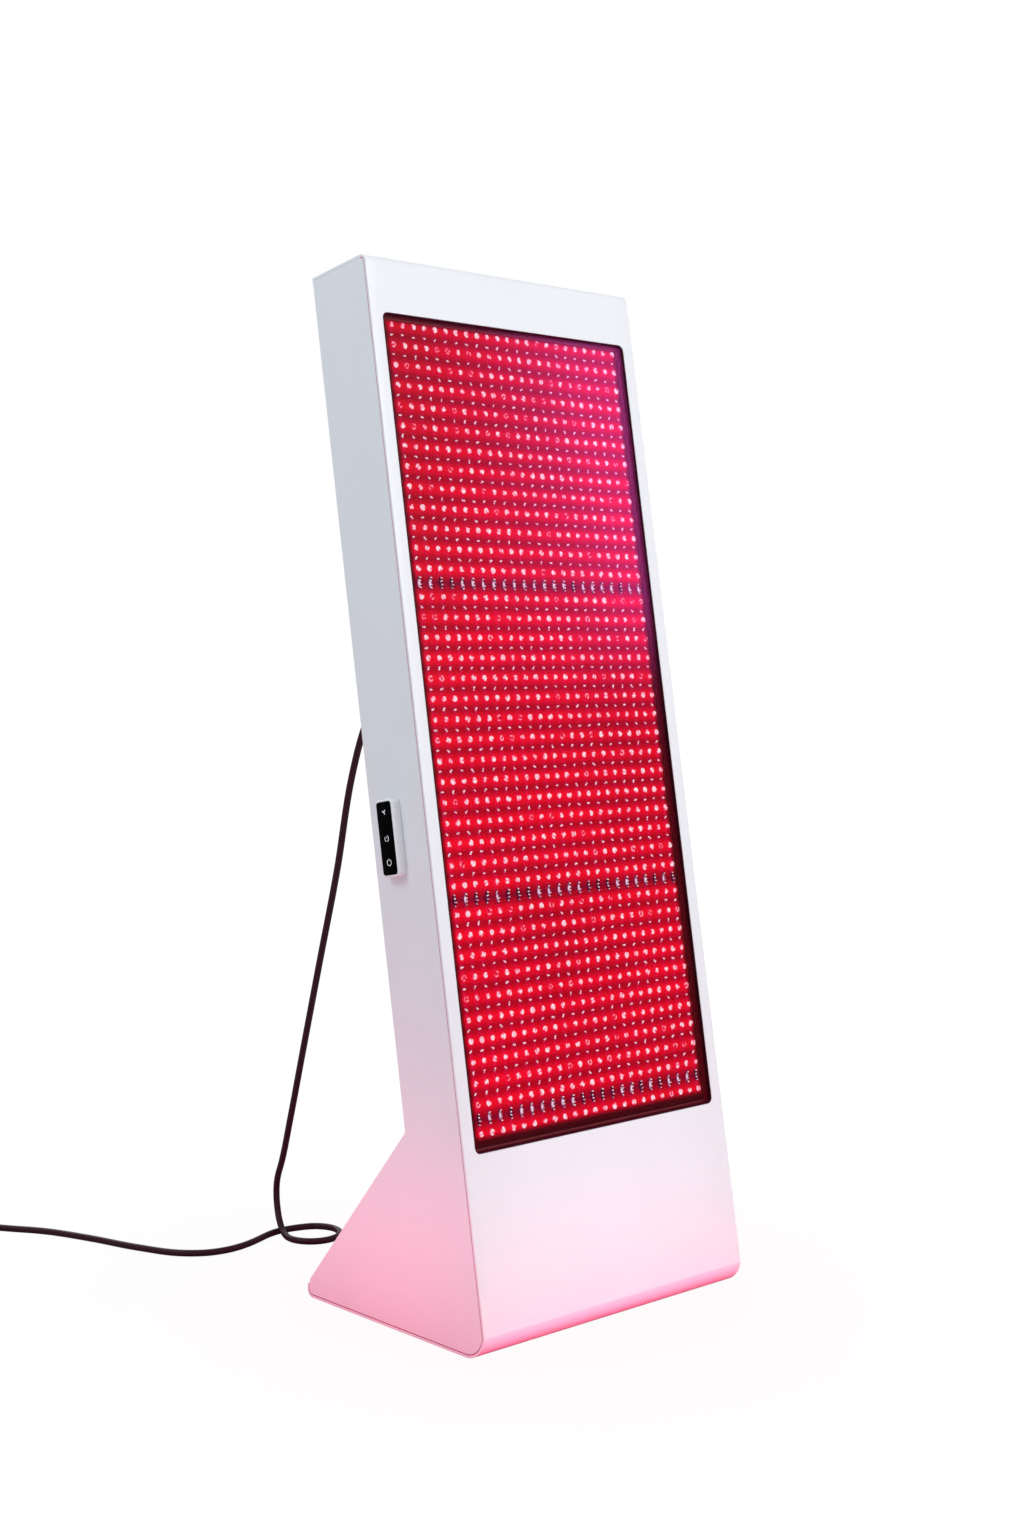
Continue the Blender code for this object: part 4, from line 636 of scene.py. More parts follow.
def side_line(skin):
    """The outline of a side, set in from the outside of the wrap."""
    loop = (
        (FOOT_DEPTH - skin, skin), (FOOT_DEPTH - skin, 0.018), in_panel(SLAB_DEPTH, 0.216),
        in_panel(SLAB_DEPTH, FACE_LENGTH - skin), in_panel(skin, FACE_LENGTH - skin), *base_bend(skin),
    )
    radii = (BEND - skin, 0.007, 0.006, 0, BEND - skin, 0.0036 - skin, BASE_BEND - skin)
    line = []
    for index, radius in enumerate(radii):
        trio = (loop[index - 1], loop[index], loop[(index + 1) % len(loop)])
        line += [Vector(loop[index])] if radius <= 0 else bent_line(trio, (radius,))[1:-1]
    return line


def seam_bead(name, side, first, last, material):
    """A fine strip in the seam between the wrap and a side, along a stretch of the wrap; in the dark rose it is a
    painted shadow line with painted red light.
    """
    bm = bmesh.new()
    edges = []
    for skin in (SHEET - STRIP_TUCK, SHEET + SEAM - STRIP_TUCK):
        points = side_line(skin)
        run = (points[TOP_OF_BACK:] + points[:HEEL_END])[first:last]
        row = [bm.verts.new((side * (HALF_WIDTH - SHEET), y, z)) for y, z in run]
        edges += [bm.edges.new(pair) for pair in zip(row, row[1:])]
    ops.bridge_loops(bm, edges=edges)
    push(bm, bm.faces[:], (side * (SHEET - STRIP_DROP), 0, 0), drop=False)
    piece(name, bm, material, place=PANEL_PLACE)


def side_plates():
    """Flat plates set inside the wrap, with a strip in the seam: white over the top, and from there down a rose one
    that is painted shade and painted red light.
    """
    line = side_line(SHEET + SEAM)
    for side, name in zip((-1, 1), SIDES):
        seam_bead(f"top_bead_{name}", side, 0, 2, WHITE_PAINT)
        # From the top down, the seam's strip is painted shade and painted red light
        seam_bead(f"seam_bead_{name}", side, 1, None, SEAM_PAINTED_SHADE_AND_RED)
        bm = bmesh.new()
        face = bm.faces.new([bm.verts.new((side * (HALF_WIDTH - SHEET), y, z)) for y, z in line])
        push(bm, [face], (side * SHEET, 0, 0), drop=False)
        piece(f"side_sheet_{name}", bm, WHITE_PAINT, replaces=(f"side_plate_{name}",), place=PANEL_PLACE,
              edge=0.0005, steps=3, sharp=30)


casing_wrap()
side_plates()
softened("rear_cover", WHITE_PAINT, 0.0003)
softened("foot_cover", WHITE_PAINT, 0.0003)


# Window

softened("window_gasket", GASKET_PAINTED_RED_SPILL, 0.00035, steps=3)
softened("clear_pane", clear_sheet(), 0.0003)
softened("recess_frame", recess_paint(), 0.0004)


# The field of lights


def light_rows():
    """How far up the slab the red rows and the infrared rows lie."""
    red, infrared = [], []
    up = WINDOW[2] - HEAD_MARGIN
    for number, count in enumerate(ROW_GROUPS):
        if number:
            infrared.append(up - ROW_PITCH * INFRARED_GAP / 2)
            up -= ROW_PITCH * INFRARED_GAP
        for row in range(count):
            red.append(up - row * ROW_PITCH)
        up -= (count - 1) * ROW_PITCH
    return red, infrared


RED_ROWS, INFRARED_ROWS = light_rows()
ACROSS = [(column - (COLUMNS - 1) / 2) * COLUMN_PITCH for column in range(COLUMNS)]


def lit_sheets():
    """The three lens sheets, with each spot's distance from its row and from the lit edge."""
    glow = field_glow()
    last = ACROSS[-1]
    top, foot = RED_ROWS[0], RED_ROWS[-1]
    rows = sorted(RED_ROWS + INFRARED_ROWS)
    levels = rows + [(a + b) / 2 for a, b in zip(rows, rows[1:])]
    levels += [top + BRIM_START, top + BRIM_END, foot - BRIM_START, foot - BRIM_END]
    sides = [side * (last + brim) for side in (-1, 1) for brim in (BRIM_START, BRIM_END)]
    for name in reversed(LEVELS):
        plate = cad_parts[f"lens_plate_{name}"].data
        corners = [SLAB_PLACE.inverted() @ vert.co for vert in plate.vertices]
        low, high = min(corner.z for corner in corners), max(corner.z for corner in corners)
        half = max(corner.x for corner in corners)
        bm = bmesh.new()
        add_box(bm, (-half, SHEET_FRONT, low), (half, SHEET_FRONT + 0.001, high))
        from_row = bm.verts.layers.float.new("from_row")
        to_edge = bm.verts.layers.float.new("to_edge")
        for up in levels:
            if low < up < high:
                cut(bm, (0, 0, up), (0, 0, 1))
        for x in sides:
            cut(bm, (x, 0, 0), (1, 0, 0))
        for vert in bm.verts:
            x, up = abs(vert.co.x), vert.co.z
            vert[from_row] = min(abs(up - red) for red in RED_ROWS) / (ROW_PITCH / 2)
            past = max(x - last, up - top, foot - up)
            vert[to_edge] = min(max((past - BRIM_START) / (BRIM_END - BRIM_START), 0), 1)
        piece(f"lit_sheet_{name}", bm, glow, replaces=(f"lens_plate_{name}",), place=SLAB_PLACE)


def core_mesh():
    """A mesh under construction that says how lit each of its corners is."""
    bm = bmesh.new()
    return bm, bm.verts.layers.float.new("core")


def lens_form(dice, tiers, sides=8):
    """One small faceted lens: tiers of radius, rise and the light that their corners can have."""
    bm, core = core_mesh()
    ring = ops.create_circle(bm, cap_ends=True, segments=sides, radius=tiers[0][0])["verts"]
    crown = bm.faces[:]
    for number, (radius, rise, levels) in enumerate(tiers):
        if number:
            ops.inset_region(bm, faces=crown, thickness=(tiers[number - 1][0] - radius) * 0.9)
            ring = list(crown[0].verts)
        for vert in ring:
            vert.co.z = rise
            vert[core] = dice.choice(levels)
    dot = ops.poke(bm, faces=crown)["verts"][0]
    dot[core] = dice.choice((0.25, 0.8, 0.9, 1, 1, 1))
    for vert in bm.verts:
        vert.co.x += dice.uniform(-0.00028, 0.00028)
        vert.co.y += dice.uniform(-0.00028, 0.00028)
    return bm


def red_form(dice):
    """A faceted dome in four tiers."""
    return lens_form(dice, (
        (0.0033, 0, (0.3,)), (0.0027, 0.0009, (0.3, 0.3, 0.35, 0.75)), (0.0019, 0.0019, (0.3, 0.5, 0.85, 1)),
        (0.0009, 0.0024, (0.3, 0.7, 0.9, 1)),
    ))


def infrared_form(dice):
    """A tall dark pad with four small slanted bars on it."""
    bm, _ = core_mesh()
    pad = lens_form(dice, ((0.003, 0, (0,)), (0.0024, 0.0006, (0, 0.06))))
    join(bm, pad, Matrix.Diagonal((0.95, 2.15, 1, 1)))
    for number in range(4):
        bar = lens_form(dice, ((0.001, 0, (0.2,)), (0.0007, 0.0016, (0.4, 0.7, 0.9, 1.1))), 6)
        lean = turned("Z", dice.choice((-24, -12, 14, 30)))
        up = (number - 1.5) * 0.0033 + dice.uniform(-0.0002, 0.0002)
        place = at((dice.uniform(-0.0008, 0.0008), up, 0.0005)) @ lean
        join(bm, bar, place @ Matrix.Diagonal((dice.uniform(1.1, 1.9), dice.uniform(0.55, 0.8), 1, 1)))
    return bm


def speck_form(dice):
    """Two small specks side by side; their light is a painted glint on unlit chips."""
    bm, _ = core_mesh()
    for side in (-1, 1):
        speck = lens_form(dice, ((0.0009, 0, (0.25,)), (0.0006, 0.0007, (0.35, 0.6, 0.9, 1.1))), 6)
        place = at((side * dice.uniform(0.0004, 0.0008), side * dice.uniform(-0.0009, 0.0009), 0))
        join(bm, speck, place @ Matrix.Diagonal((dice.uniform(1, 1.5), dice.uniform(0.7, 1), 1, 1)))
    return bm


def set_lights(dice, name, form, count, rows, turn, sizes, lens, stops):
    """Copies of a few forms along rows on the lit sheet, each turned and sized a little differently."""
    forms = [as_mesh(form(dice), "form") for _ in range(count)]
    bm, _ = core_mesh()
    for up in rows:
        for across in ACROSS:
            size = dice.uniform(*sizes)
            seat = at((across, SHEET_FRONT, up)) @ turned("X", 90)
            spun = Matrix.Rotation(dice.uniform(-turn, turn), 4, "Z") @ Matrix.Diagonal((size, size, 1, 1))
            add_form(bm, dice.choice(forms), seat @ spun)
    for mesh in forms:
        bpy.data.meshes.remove(mesh)
    piece(name, bm, lit_lens(lens, stops), place=SLAB_PLACE, sharp=80)


# The specks between the red rows are unlit chips whose light is a painted glint
SPECK_ROWS = [(above + below) / 2 for above, below in zip(RED_ROWS, RED_ROWS[1:])
              if above - below < ROW_PITCH * 1.1]
# Each kind of light, with the specks whose light is a painted glint: piece, form, how many forms, rows, turn,
# sizes, material, and light from rim to middle
LIGHTS_AND_GLINT_SPECKS = (
    ("red_lenses", red_form, 24, RED_ROWS, pi, (0.8, 1), "lit_red_lens", (
        (0, (0.02, 0, 0.004)), (0.16, (0.3, 0, 0.01)), (0.32, (0.86, 0.004, 0.03)),
        (0.58, (0.95, 0.08, 0.18)), (0.8, (1, 0.42, 0.55)), (1, (1, 0.8, 0.88)),
    )),
    ("infrared_lenses", infrared_form, 12, INFRARED_ROWS, 0.1, (0.95, 1.05), "lit_infrared_lens", (
        (0, (0.018, 0, 0.006)), (0.22, (0.12, 0, 0.03)), (0.45, (0.44, 0.1, 0.25)),
        (0.66, (0.72, 0.46, 0.6)), (0.92, (0.95, 0.86, 0.94)),
    )),
    ("dim_lights", speck_form, 12, SPECK_ROWS, 0.6, (0.9, 1.2), "speck_painted_glint", (
        (0, (0.12, 0, 0.02)), (0.3, (0.5, 0.02, 0.09)), (0.55, (0.85, 0.34, 0.5)), (0.85, (1, 0.84, 0.94)),
    )),
)

lit_sheets()
light_dice = random.Random(11)
for light_kind in LIGHTS_AND_GLINT_SPECKS:
    set_lights(light_dice, *light_kind)


# Control pod

# A mark's two faces, sunk in the glass and standing proud of it, and the width of its arcs
MARK_BACK, MARK_FRONT, MARK_LINE = GLASS_OUT + 0.00008, GLASS_OUT - 0.00006, 0.0007
# Each mark's height, its arcs by radius, start, sweep and steps, and its bars by turn, start, end and width
TOUCH_MARKS = (
    (0.5255, (), ((38, -0.0003, 0.003, 0.001), (-62, -0.0003, 0.0026, 0.0012), (150, -0.0003, 0.0024, 0.0008))),
    (0.5002, ((0.0028, 20, 150, 10), (0.0028, 195, 110, 8)), ((0, 0, 0.0018, 0.0005),)),
    (0.477, ((0.0031, 35, 290, 18),), ((0, 0.0012, 0.0038, 0.0007),)),
)


def touch_marks():
    """Small raised marks on the touch glass: a generic arrow, timer mark and power mark."""
    bm = bmesh.new()
    for height, arcs, bars in TOUCH_MARKS:
        for radius, start, sweep, steps in arcs:
            turn = turned("X", start)
            low, high = radius - MARK_LINE / 2, radius + MARK_LINE / 2
            verts = [
                bm.verts.new(turn @ Vector((0, 0, reach)) + Vector((across, POD_INTO, height))) for across, reach in
                ((MARK_BACK, low), (MARK_BACK, high), (MARK_FRONT, high), (MARK_FRONT, low))
            ]
            ops.spin(bm, geom=[bm.faces.new(verts)], cent=(GLASS_OUT, POD_INTO, height), axis=(1, 0, 0),
                     angle=radians(sweep), steps=steps)
        for turn, low, high, width in bars:
            verts = add_box(bm, (MARK_FRONT, -width / 2, low), (MARK_BACK, width / 2, high))
            place = at((0, POD_INTO, height)) @ turned("X", turn)
            ops.transform(bm, matrix=place, verts=verts)
    piece("pod_touch_marks", bm, lit_mark(), place=SLAB_PLACE, sharp=50)


def rounded_slab(outer, inner, wide, tall, corner, rim):
    """A slab round the pod's middle with round corners and an eased outer rim, each a radius and steps."""
    bm = bmesh.new()
    verts = add_box(bm, (outer, POD_INTO - wide, POD_UP - tall), (inner, POD_INTO + wide, POD_UP + tall))
    ease(bm, {edge for vert in verts for edge in vert.link_edges
              if abs(edge.verts[0].co.x - edge.verts[1].co.x) > 0.0005}, *corner)
    ease(bm, [edge for edge in bm.edges if all(vert.co.x < outer + 0.0001 for vert in edge.verts)], *rim)
    return bm


def control_pod():
    """The white pod on the left plate, recessed for its glass in front and hollow behind."""
    bm = rounded_slab(-0.19, -0.1803, 0.01325, 0.03775, (0.0055, 10), (0.0018, 6))
    for pick, wall, depth in ((min, 0.0003, 0.0013), (max, 0.0035, -0.007)):
        face = pick(bm.faces, key=lambda face: face.calc_center_median().x)
        ops.inset_region(bm, faces=[face], thickness=wall)
        push(bm, [face], (depth, 0, 0))
    piece("pod_body", bm, WHITE_PLASTIC, replaces=("control_pod",), place=SLAB_PLACE, sharp=50)
    bm = rounded_slab(GLASS_OUT, -0.189, 0.01085, 0.03535, (0.0031, 8), (0.0003, 3))
    piece("pod_touch_glass", bm, TOUCH_GLASS, replaces=("touch_glass",), place=SLAB_PLACE, sharp=50)


control_pod()
touch_marks()

for lamp_name, lit_pieces in LIT_ALONE.items():
    group = bpy.data.collections.new(f"lit_by_{lamp_name}")
    for lit_piece in lit_pieces:
        group.objects.link(bpy.data.objects[lit_piece])
    bpy.data.objects[lamp_name].light_linking.receiver_collection = group


# Mains inlet, switch, screws and feet


def screw(bm, across, seat, up, radius, height, shank, tail):
    """A pan head with a six-lobed recess, its shank behind it."""
    head = ((0, 0.45), (0.5, 0.45), (0.54, 1), (0.72, 0.96), (0.92, 0.7), (1, 0.3), (1, 0))
    profile = [(radius * out, seat + height * rise) for out, rise in head]
    made = lathe(profile + [(shank, seat), (shank, tail), (0, tail)], Matrix.Identity(4), 18)
    for vert in made.verts:
        reach = hypot(vert.co.x, vert.co.y)
        if 0.1 * radius < reach < radius * 0.56 and vert.co.z > seat:
            lobe = 1 + 0.14 * cos(6 * atan2(vert.co.y, vert.co.x))
            vert.co.x, vert.co.y = vert.co.x * lobe, vert.co.y * lobe
    join(bm, made, turned_to_back(across, up))


def rear_fixings():
    places = [(x, up) for x in (-0.1667, 0.1667) for up in (0.250275, 0.5964, 1.017075)]
    for number, (across, up) in enumerate(places, start=1):
        bm = bmesh.new()
        screw(bm, across, 0.0853, up, 0.0035, 0.002, 0.0015, 0.0817)
        piece(f"cover_screw_{number}", bm, ZINC, replaces=(f"rear_cover_screw_{number}",), sharp=40)
    bm = bmesh.new()
    for side in (-1, 1):
        screw(bm, INLET[0] + side * 0.0195, 0.0878, INLET[1], 0.0026, 0.0009, 0.0011, 0.085)
    piece("inlet_screws", bm, ZINC, sharp=40)


def rocker_marks():
    """The on and off marks let into the rocker's two faces."""
    proud, sunk, dip = 0.00006, -0.0001, 0.0016

    def seat(way):
        slope = way * atan2(dip, 0.00955)
        return at((0, 0.003 + dip * 0.6, way * 0.0057)) @ Matrix.Rotation(slope, 4, "X")

    bm = bmesh.new()
    verts = add_box(bm, (-0.0003, sunk, -0.0015), (0.0003, proud, 0.0015))
    ops.transform(bm, matrix=seat(1), verts=verts)
    before = set(bm.verts)
    corners = [bm.verts.new((reach, rise, 0)) for reach, rise in
               ((0.0012, sunk), (0.0018, sunk), (0.0018, proud), (0.0012, proud))]
    ops.spin(bm, geom=[bm.faces.new(corners)], cent=(0, 0, 0), axis=(0, 1, 0), angle=2 * pi, steps=20,
             use_merge=True)
    ops.remove_doubles(bm, verts=bm.verts, dist=0.000005)
    ops.transform(bm, matrix=seat(-1), verts=[vert for vert in bm.verts if vert not in before])
    pivot = SLAB_PLACE @ at((ROCKER_ACROSS, SLAB_DEPTH, INLET[1]))
    piece("rocker_marks", bm, MARK_WHITE, "rocker", place=pivot @ turned("X", 10))


def rubber_feet():
    profile = (
        (0, -0.002), (0.0078, -0.002), (0.0082, -0.0017), (0.0088, -0.0017), (0.0092, -0.002),
        (0.0104, -0.002), (0.011, -0.0014), (0.0108, -0.0003), (0.003, -0.0003), (0.003, 0.0025), (0, 0.0025),
    )
    for name, x in zip(SIDES, (-0.14, 0.14)):
        for end, y in (("front", 0.055), ("rear", 0.247)):
            bm = lathe(profile, PANEL_PLACE @ at((x, y, 0)), 36)
            piece(f"foot_{end}_{name}", bm, BLACK_RUBBER, replaces=(f"rubber_foot_{end}_{name}",))


softened("mains_inlet", BLACK_PLASTIC, 0.0005)
softened("switch_bezel", BLACK_PLASTIC, 0.0004)
softened("power_rocker", BLACK_PLASTIC, 0.00035, "rocker")
connector = softened("cord_connector", BLACK_PLASTIC, 0.0016, steps=4)
rear_fixings()
rocker_marks()
rubber_feet()


# Fans


def fan_rotor(name, up):
    """A hub with seven twisted, cambered blades."""
    front, back = 0.0627, 0.0787
    bm = lathe((
        (0, front), (0.0128, front), (0.015, front + 0.0006), (0.016, front + 0.0022), (0.016, back),
        (0.0018, back), (0.0018, 0.0695), (0, 0.0695),
    ), Matrix.Identity(4), 42)
    for number in range(7):
        grid = ops.create_grid(bm, x_segments=7, y_segments=5, size=0.5)["verts"]
        for vert in grid:
            out, along = vert.co.x + 0.5, vert.co.y
            radius = 0.0154 + 0.02 * out
            pitch = radians(44 - 16 * out)
            chord = 0.0135 + 0.0025 * out
            camber = 0.0014 * (1 - 4 * along**2)
            round_by = along * chord * cos(pitch) + camber * sin(pitch)
            deep = along * chord * sin(pitch) - camber * cos(pitch)
            angle = 2 * pi * number / 7 + 0.2 * out**2 + round_by / radius
            vert.co = (radius * cos(angle), radius * sin(angle), (front + back) / 2 + deep)
        faces = list({face for vert in grid for face in vert.link_faces})
        ops.solidify(bm, geom=faces, thickness=0.0012)
    piece(f"rotor_{name}_blades", bm, BLACK_PLASTIC, f"rotor_{name}", (f"fan_rotor_{name}",),
          turned_to_back(0, up), sharp=40)


for fan_name, fan_share in (("lower", 0.728), ("upper", 0.869)):
    fan_rotor(fan_name, fan_share * FACE_LENGTH)
    softened(f"fan_frame_{fan_name}", BLACK_PLASTIC, 0.0006)


# Cord: its route is the model's own, from the strain relief to the plug

CORD = 0.0074
CORD_EXIT = Vector((-0.0999, 0.0921, 0.6247))
CORD_LOW = 0.0038
CORD_DROP = (
    (-0.0999, 0.11, 0.62), (-0.0998, 0.1157, 0.6162), (-0.0993, 0.1215, 0.6098),
    (-0.0983, 0.1403, 0.5796), (-0.095, 0.1615, 0.537), (-0.0865, 0.1994, 0.433),
    (-0.0781, 0.242, 0.3297), (-0.0694, 0.2858, 0.2227), (-0.0624, 0.3208, 0.1366),
    (-0.0577, 0.344, 0.083), (-0.0561, 0.3552, 0.0608), (-0.0553, 0.3581, 0.0457),
    (-0.0566, 0.3549, 0.03), (-0.0602, 0.3462, 0.0168), (-0.0649, 0.3331, 0.0075),
)
CORD_FLOOR = (
    (-0.0701, 0.3156), (-0.0697, 0.3012), (-0.0628, 0.2885), (-0.0509, 0.2803), (-0.0366, 0.2784),
    (-0.0229, 0.2832), (-0.013, 0.2937), (-0.0088, 0.3076), (-0.0115, 0.3218), (-0.0203, 0.3333),
    (-0.0318, 0.3391), (-0.044, 0.3424), (-0.059, 0.3445), (-0.0755, 0.342), (-0.096, 0.334),
    (-0.12, 0.3256), (-0.1456, 0.3226), (-0.17, 0.3285), (-0.1903, 0.3448), (-0.2161, 0.3975),
    (-0.2365, 0.4632), (-0.26, 0.5226),
)
CORD_ROUTE = (
    *CORD_DROP, *[(x, y, CORD_LOW) for x, y in CORD_FLOOR], (-0.292, 0.5708, 0.004), (-0.306, 0.5919, 0.0046),
)
COIL_START = Vector((-0.3169, 0.6083, 0.005))
COIL_HEADING = radians(123.6)
COIL_TURNS, COIL_RADIUS, COIL_PITCH = 4.4, 0.046, 0.0079


def coil_line():
    """The coiled rest: in on one layer, up at the middle, out on the next, and off to the plug."""
    heading = Vector((cos(COIL_HEADING), sin(COIL_HEADING), 0))
    left = Vector((-heading.y, heading.x, 0))
    centre = COIL_START + heading * CORD + left * COIL_RADIUS
    count = round(COIL_TURNS * 44)
    line = [COIL_START.copy()]
    for number in range(count + 1):
        turn = COIL_TURNS * number / count
        from_middle = turn - COIL_TURNS / 2
        radius = COIL_RADIUS - COIL_PITCH * (COIL_TURNS / 2 - abs(from_middle))
        climb = min(max(from_middle / 0.5 + 0.5, 0), 1)
        climb = climb * climb * (3 - 2 * climb)
        angle = COIL_HEADING - pi / 2 + 2 * pi * turn
        spoke = Vector((cos(angle), sin(angle), 0))
        line.append(centre + spoke * radius + Vector((0, 0, COIL_PITCH * climb)))
    way = Vector((-sin(angle), cos(angle), 0))
    end = line[-1].copy()
    line += [end + way * 0.036 * share for share in (0.25, 0.5, 0.75, 1)]
    return line, way, centre


def mains_cord():
    """The lead from the connector to the end of the coil; its length and its end come with it."""
    coil, way, centre = coil_line()
    lead_in = (coil[1] - coil[0]).normalized()
    route = [CORD_EXIT, CORD_EXIT + INTO_SLAB * CORD, *CORD_ROUTE, coil[0] - lead_in * CORD, coil[0]]
    line = eased_line(smooth_line(route), 3) + coil[1:]
    lead = tube("mains_lead", line, CORD / 2, 4, JACKET, ("mains_cord", "cord_coil"))
    length = sum((after - here).length for here, after in zip(line, line[1:]))
    return lead, length, line[-1], way, centre


def strain_relief():
    """A tapered sleeve with six ribs that grips the cord where it leaves the connector."""
    profile = [(0.0038, 0.1044), (0.0058, 0.1044), (0.0066, 0.105), (0.0066, 0.1072)]
    for rib in range(6):
        start = 0.1076 + rib * 0.003
        radius = 0.0064 - rib * 0.00028
        profile += [(radius - 0.0009, start), (radius - 0.0009, start + 0.0008), (radius, start + 0.0012),
                    (radius - 0.0001, start + 0.0026)]
    profile += [(0.0048, 0.1259), (0.0042, 0.1264), (0.0038, 0.1264)]
    bm = lathe(profile, turned_to_back(*INLET), 28)
    return piece("relief_sleeve", bm, BLACK_RUBBER, replaces=("connector_relief",), sharp=40)


# The plug's body from its face to the cord: along, half width and half height
PLUG_SHAPE = (
    (0.046, 0.013, 0.0128), (0.0412, 0.013, 0.0128), (0.0394, 0.0119, 0.012), (0.032, 0.0108, 0.0112),
    (0.021, 0.0104, 0.0104), (0.0125, 0.0099, 0.0094), (0.008, 0.0082, 0.0078), (0.0048, 0.0062, 0.006),
    (0, 0.005, 0.005),
)


def plug_body(place):
    """A collar at the face and a waisted grip."""
    bm = bmesh.new()
    along, wide, tall = PLUG_SHAPE[0]
    seat = at((0, along, 0)) @ turned("X", 90)
    ops.create_grid(bm, x_segments=1, y_segments=1, size=1, matrix=seat @ Matrix.Diagonal((wide, tall, 1, 1)))
    ease(bm, bm.verts, 0.0052, 7, "VERTICES")
    cap = bm.faces[:]
    for before, after in zip(PLUG_SHAPE, PLUG_SHAPE[1:]):
        cap = push(bm, cap, (0, after[0] - before[0], 0), drop=before is not PLUG_SHAPE[0])
        ops.scale(bm, vec=(after[1] / before[1], 1, after[2] / before[2]), verts=cap[0].verts[:])
    return piece("plug_body", bm, BLACK_PLASTIC, replaces=("mains_plug",), place=place, edge=0.001, steps=3,
                 sharp=40)


def plug_ribs(place):
    """Six ribs on each side of the grip."""
    bm = bmesh.new()
    for number in range(6):
        along = 0.0165 + number * 0.0028
        for side in (-1, 1):
            low, high = sorted((side * 0.0098, side * (0.0112 + number * 0.00008)))
            verts = add_box(bm, (low, along, -0.007), (high, along + 0.0015, 0.007))
            ease(bm, {edge for vert in verts for edge in vert.link_edges}, 0.0005, 3)
    return piece("plug_grip_ribs", bm, BLACK_PLASTIC, place=place)


def plug_pins(place):
    """Two flat blades and a round earth pin with a tapered tip."""
    bm = bmesh.new()
    for x in (-0.00635, 0.00635):
        add_box(bm, (x - 0.00075, 0.0455, 0.004 - 0.00315), (x + 0.00075, 0.063, 0.004 + 0.00315))
    for start, length, tip in ((0.0455, 0.0155, 0.0024), (0.061, 0.002, 0.0013)):
        seat = at((0, start + length / 2, -0.0065)) @ turned("X", -90)
        ops.create_cone(bm, cap_ends=True, segments=20, radius1=0.0024, radius2=tip, depth=length, matrix=seat)
    return piece("plug_pins", bm, NICKEL, place=place, edge=0.0004)


def coil_tie(centre):
    """A flat rubber strap round the bundle of turns."""
    half = 0.006
    bundle = COIL_RADIUS - COIL_PITCH * COIL_TURNS / 2 - CORD / 2
    inner = sqrt(bundle**2 - half**2) - GAP
    outer = COIL_RADIUS + CORD / 2 + GAP
    top = COIL_START.z + COIL_PITCH + CORD / 2 + GAP
    bm = bmesh.new()
    add_box(bm, (inner, -half, 0.001), (outer, half, top))
    ops.delete(bm, geom=[face for face in bm.faces if abs(face.normal.y) > 0.5], context="FACES_ONLY")
    ease(bm, [edge for edge in bm.edges if not edge.is_boundary], 0.0035, 5)
    ops.subdivide_edges(bm, edges=[edge for edge in bm.edges if abs(
        edge.verts[0].co.y - edge.verts[1].co.y) > 0.01], cuts=6, use_grid_fill=True)
    for vert in bm.verts:
        vert.co.y = max(min(vert.co.y, half), -half)
    place = at((centre.x, centre.y, 0)) @ Matrix.Rotation(COIL_HEADING, 4, "Z")
    tie = piece("tie_strap", bm, TIE_RUBBER, replaces=("coil_tie",), place=place)
    add_modifier(tie, "strap", "SOLIDIFY", thickness=0.001, offset=1)
    return tie


lead, lead_length, lead_end, plug_way, coil_centre = mains_cord()
relief = strain_relief()
plug_turn = Matrix.Rotation(atan2(plug_way.y, plug_way.x) - pi / 2, 4, "Z")
plug_place = at(lead_end + plug_way * GAP) @ plug_turn
plug_pieces = [plug_body(plug_place), plug_ribs(plug_place), plug_pins(plug_place)]
tie = coil_tie(coil_centre)


# Inside the casing

WIRES = {name: finish(f"wire_sleeve_{name}", colour, 0.5, mottle, 90, 1100, 0.2)
         for name, colour, mottle in (
    ("black", (0.03, 0.03, 0.032), 0.3), ("red", (0.42, 0.02, 0.02), 0.2), ("brown", (0.16, 0.06, 0.03), 0.2),
    ("blue", (0.03, 0.12, 0.42), 0.2), ("green", (0.08, 0.32, 0.06), 0.2), ("white", (0.7, 0.7, 0.68), 0.1),
)}


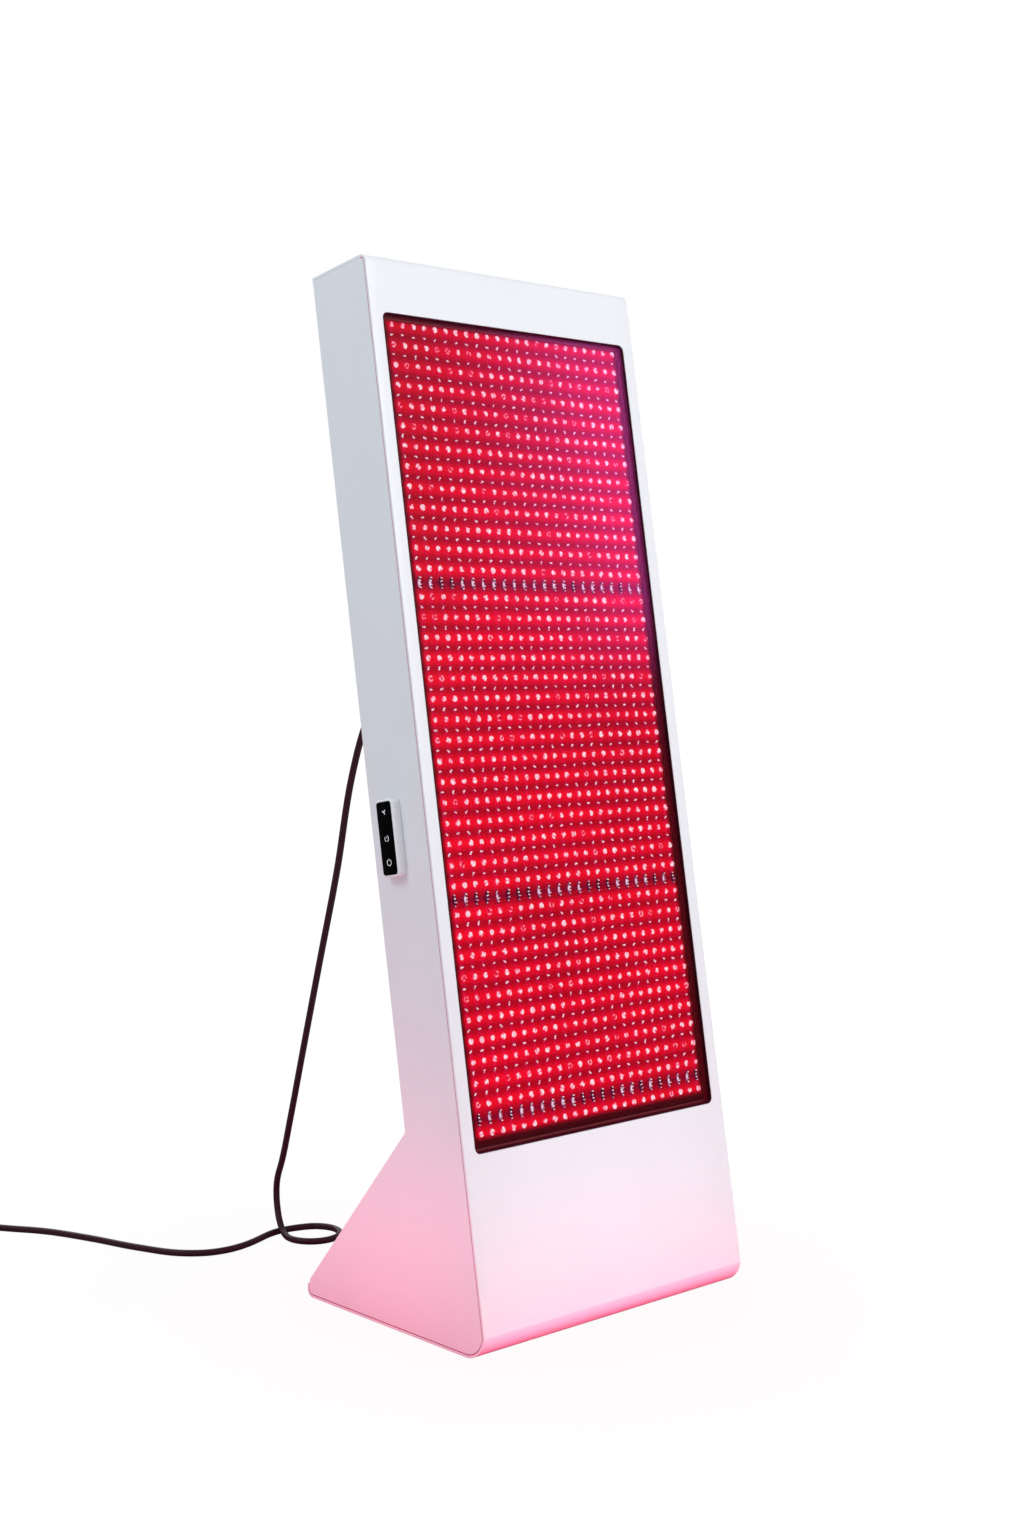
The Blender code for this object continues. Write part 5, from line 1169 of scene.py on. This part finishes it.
def wire_bundle(node, route, across, colours):
    """Sleeved wires laid round each other along a cable's run in the slab."""
    line = smooth_line([SLAB_PLACE @ Vector(point) for point in route])
    spread_out = across / 2 / (1 + sin(pi / len(colours)))
    for number, colour in enumerate(colours):
        strand = []
        for index, point in enumerate(line):
            way = (line[min(index + 1, len(line) - 1)] - line[max(index - 1, 0)]).normalized()
            side = way.cross(INTO_SLAB if abs(way.dot(INTO_SLAB)) < 0.8 else Vector((1, 0, 0))).normalized()
            turn = 2 * pi * (number / len(colours) + index / 14)
            strand.append(point + Matrix.Rotation(turn, 3, way) @ side * spread_out)
        tube(f"{node}_wire_{number + 1}", strand, across / 2 - spread_out, 2, WIRES[colour],
             () if number else (node,))


wire_bundle("pod_cable", (
    (-0.1795, POD_INTO, 0.5003), (-0.1775, POD_INTO, 0.5003), (-0.12, POD_INTO, 0.5003),
    (-0.0667, 0.0451, 0.4995), (-0.0603, 0.0451, 0.4995),
), 0.0032, ("black", "red", "white", "green"))
wire_bundle("mains_harness", (
    (-0.105, 0.0623, 0.653), (-0.105, 0.0559, 0.653), (-0.105, 0.0495, 0.6338), (-0.105, 0.0576, 0.5287),
    (-0.095, 0.0576, 0.4301), (-0.095, 0.0576, 0.4109), (-0.095, 0.0576, 0.4045),
), 0.0064, ("brown", "blue", "green"))
wire_bundle("fan_harness", (
    (0.02, 0.0707, 0.735), (0.02, 0.0707, 0.7318), (0.03, 0.0579, 0.6324), (0.03, 0.0451, 0.533),
    (0.03, 0.0451, 0.5298),
), 0.0032, ("red", "black"))

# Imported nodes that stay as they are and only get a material
INSIDE = {
    RED_BOARD: [f"light_board_{level}" for level in LEVELS],
    GREEN_BOARD: ["control_board", "touch_board"],
    ALUMINIUM: [*[f"heat_sink_{level}" for level in LEVELS], *[f"led_driver_{side}" for side in SIDES]],
    ZINC: ["cross_bar_lower", "cross_bar_middle", "board_bracket", "ballast_plate",
           *[f"{part}_{side}" for part in ("chassis_rail", "ballast_bolt", "foot_gusset") for side in SIDES]],
}
for inside_finish, inside_nodes in INSIDE.items():
    for inside_node in inside_nodes:
        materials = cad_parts[inside_node].data.materials
        materials.clear()
        materials.append(inside_finish)
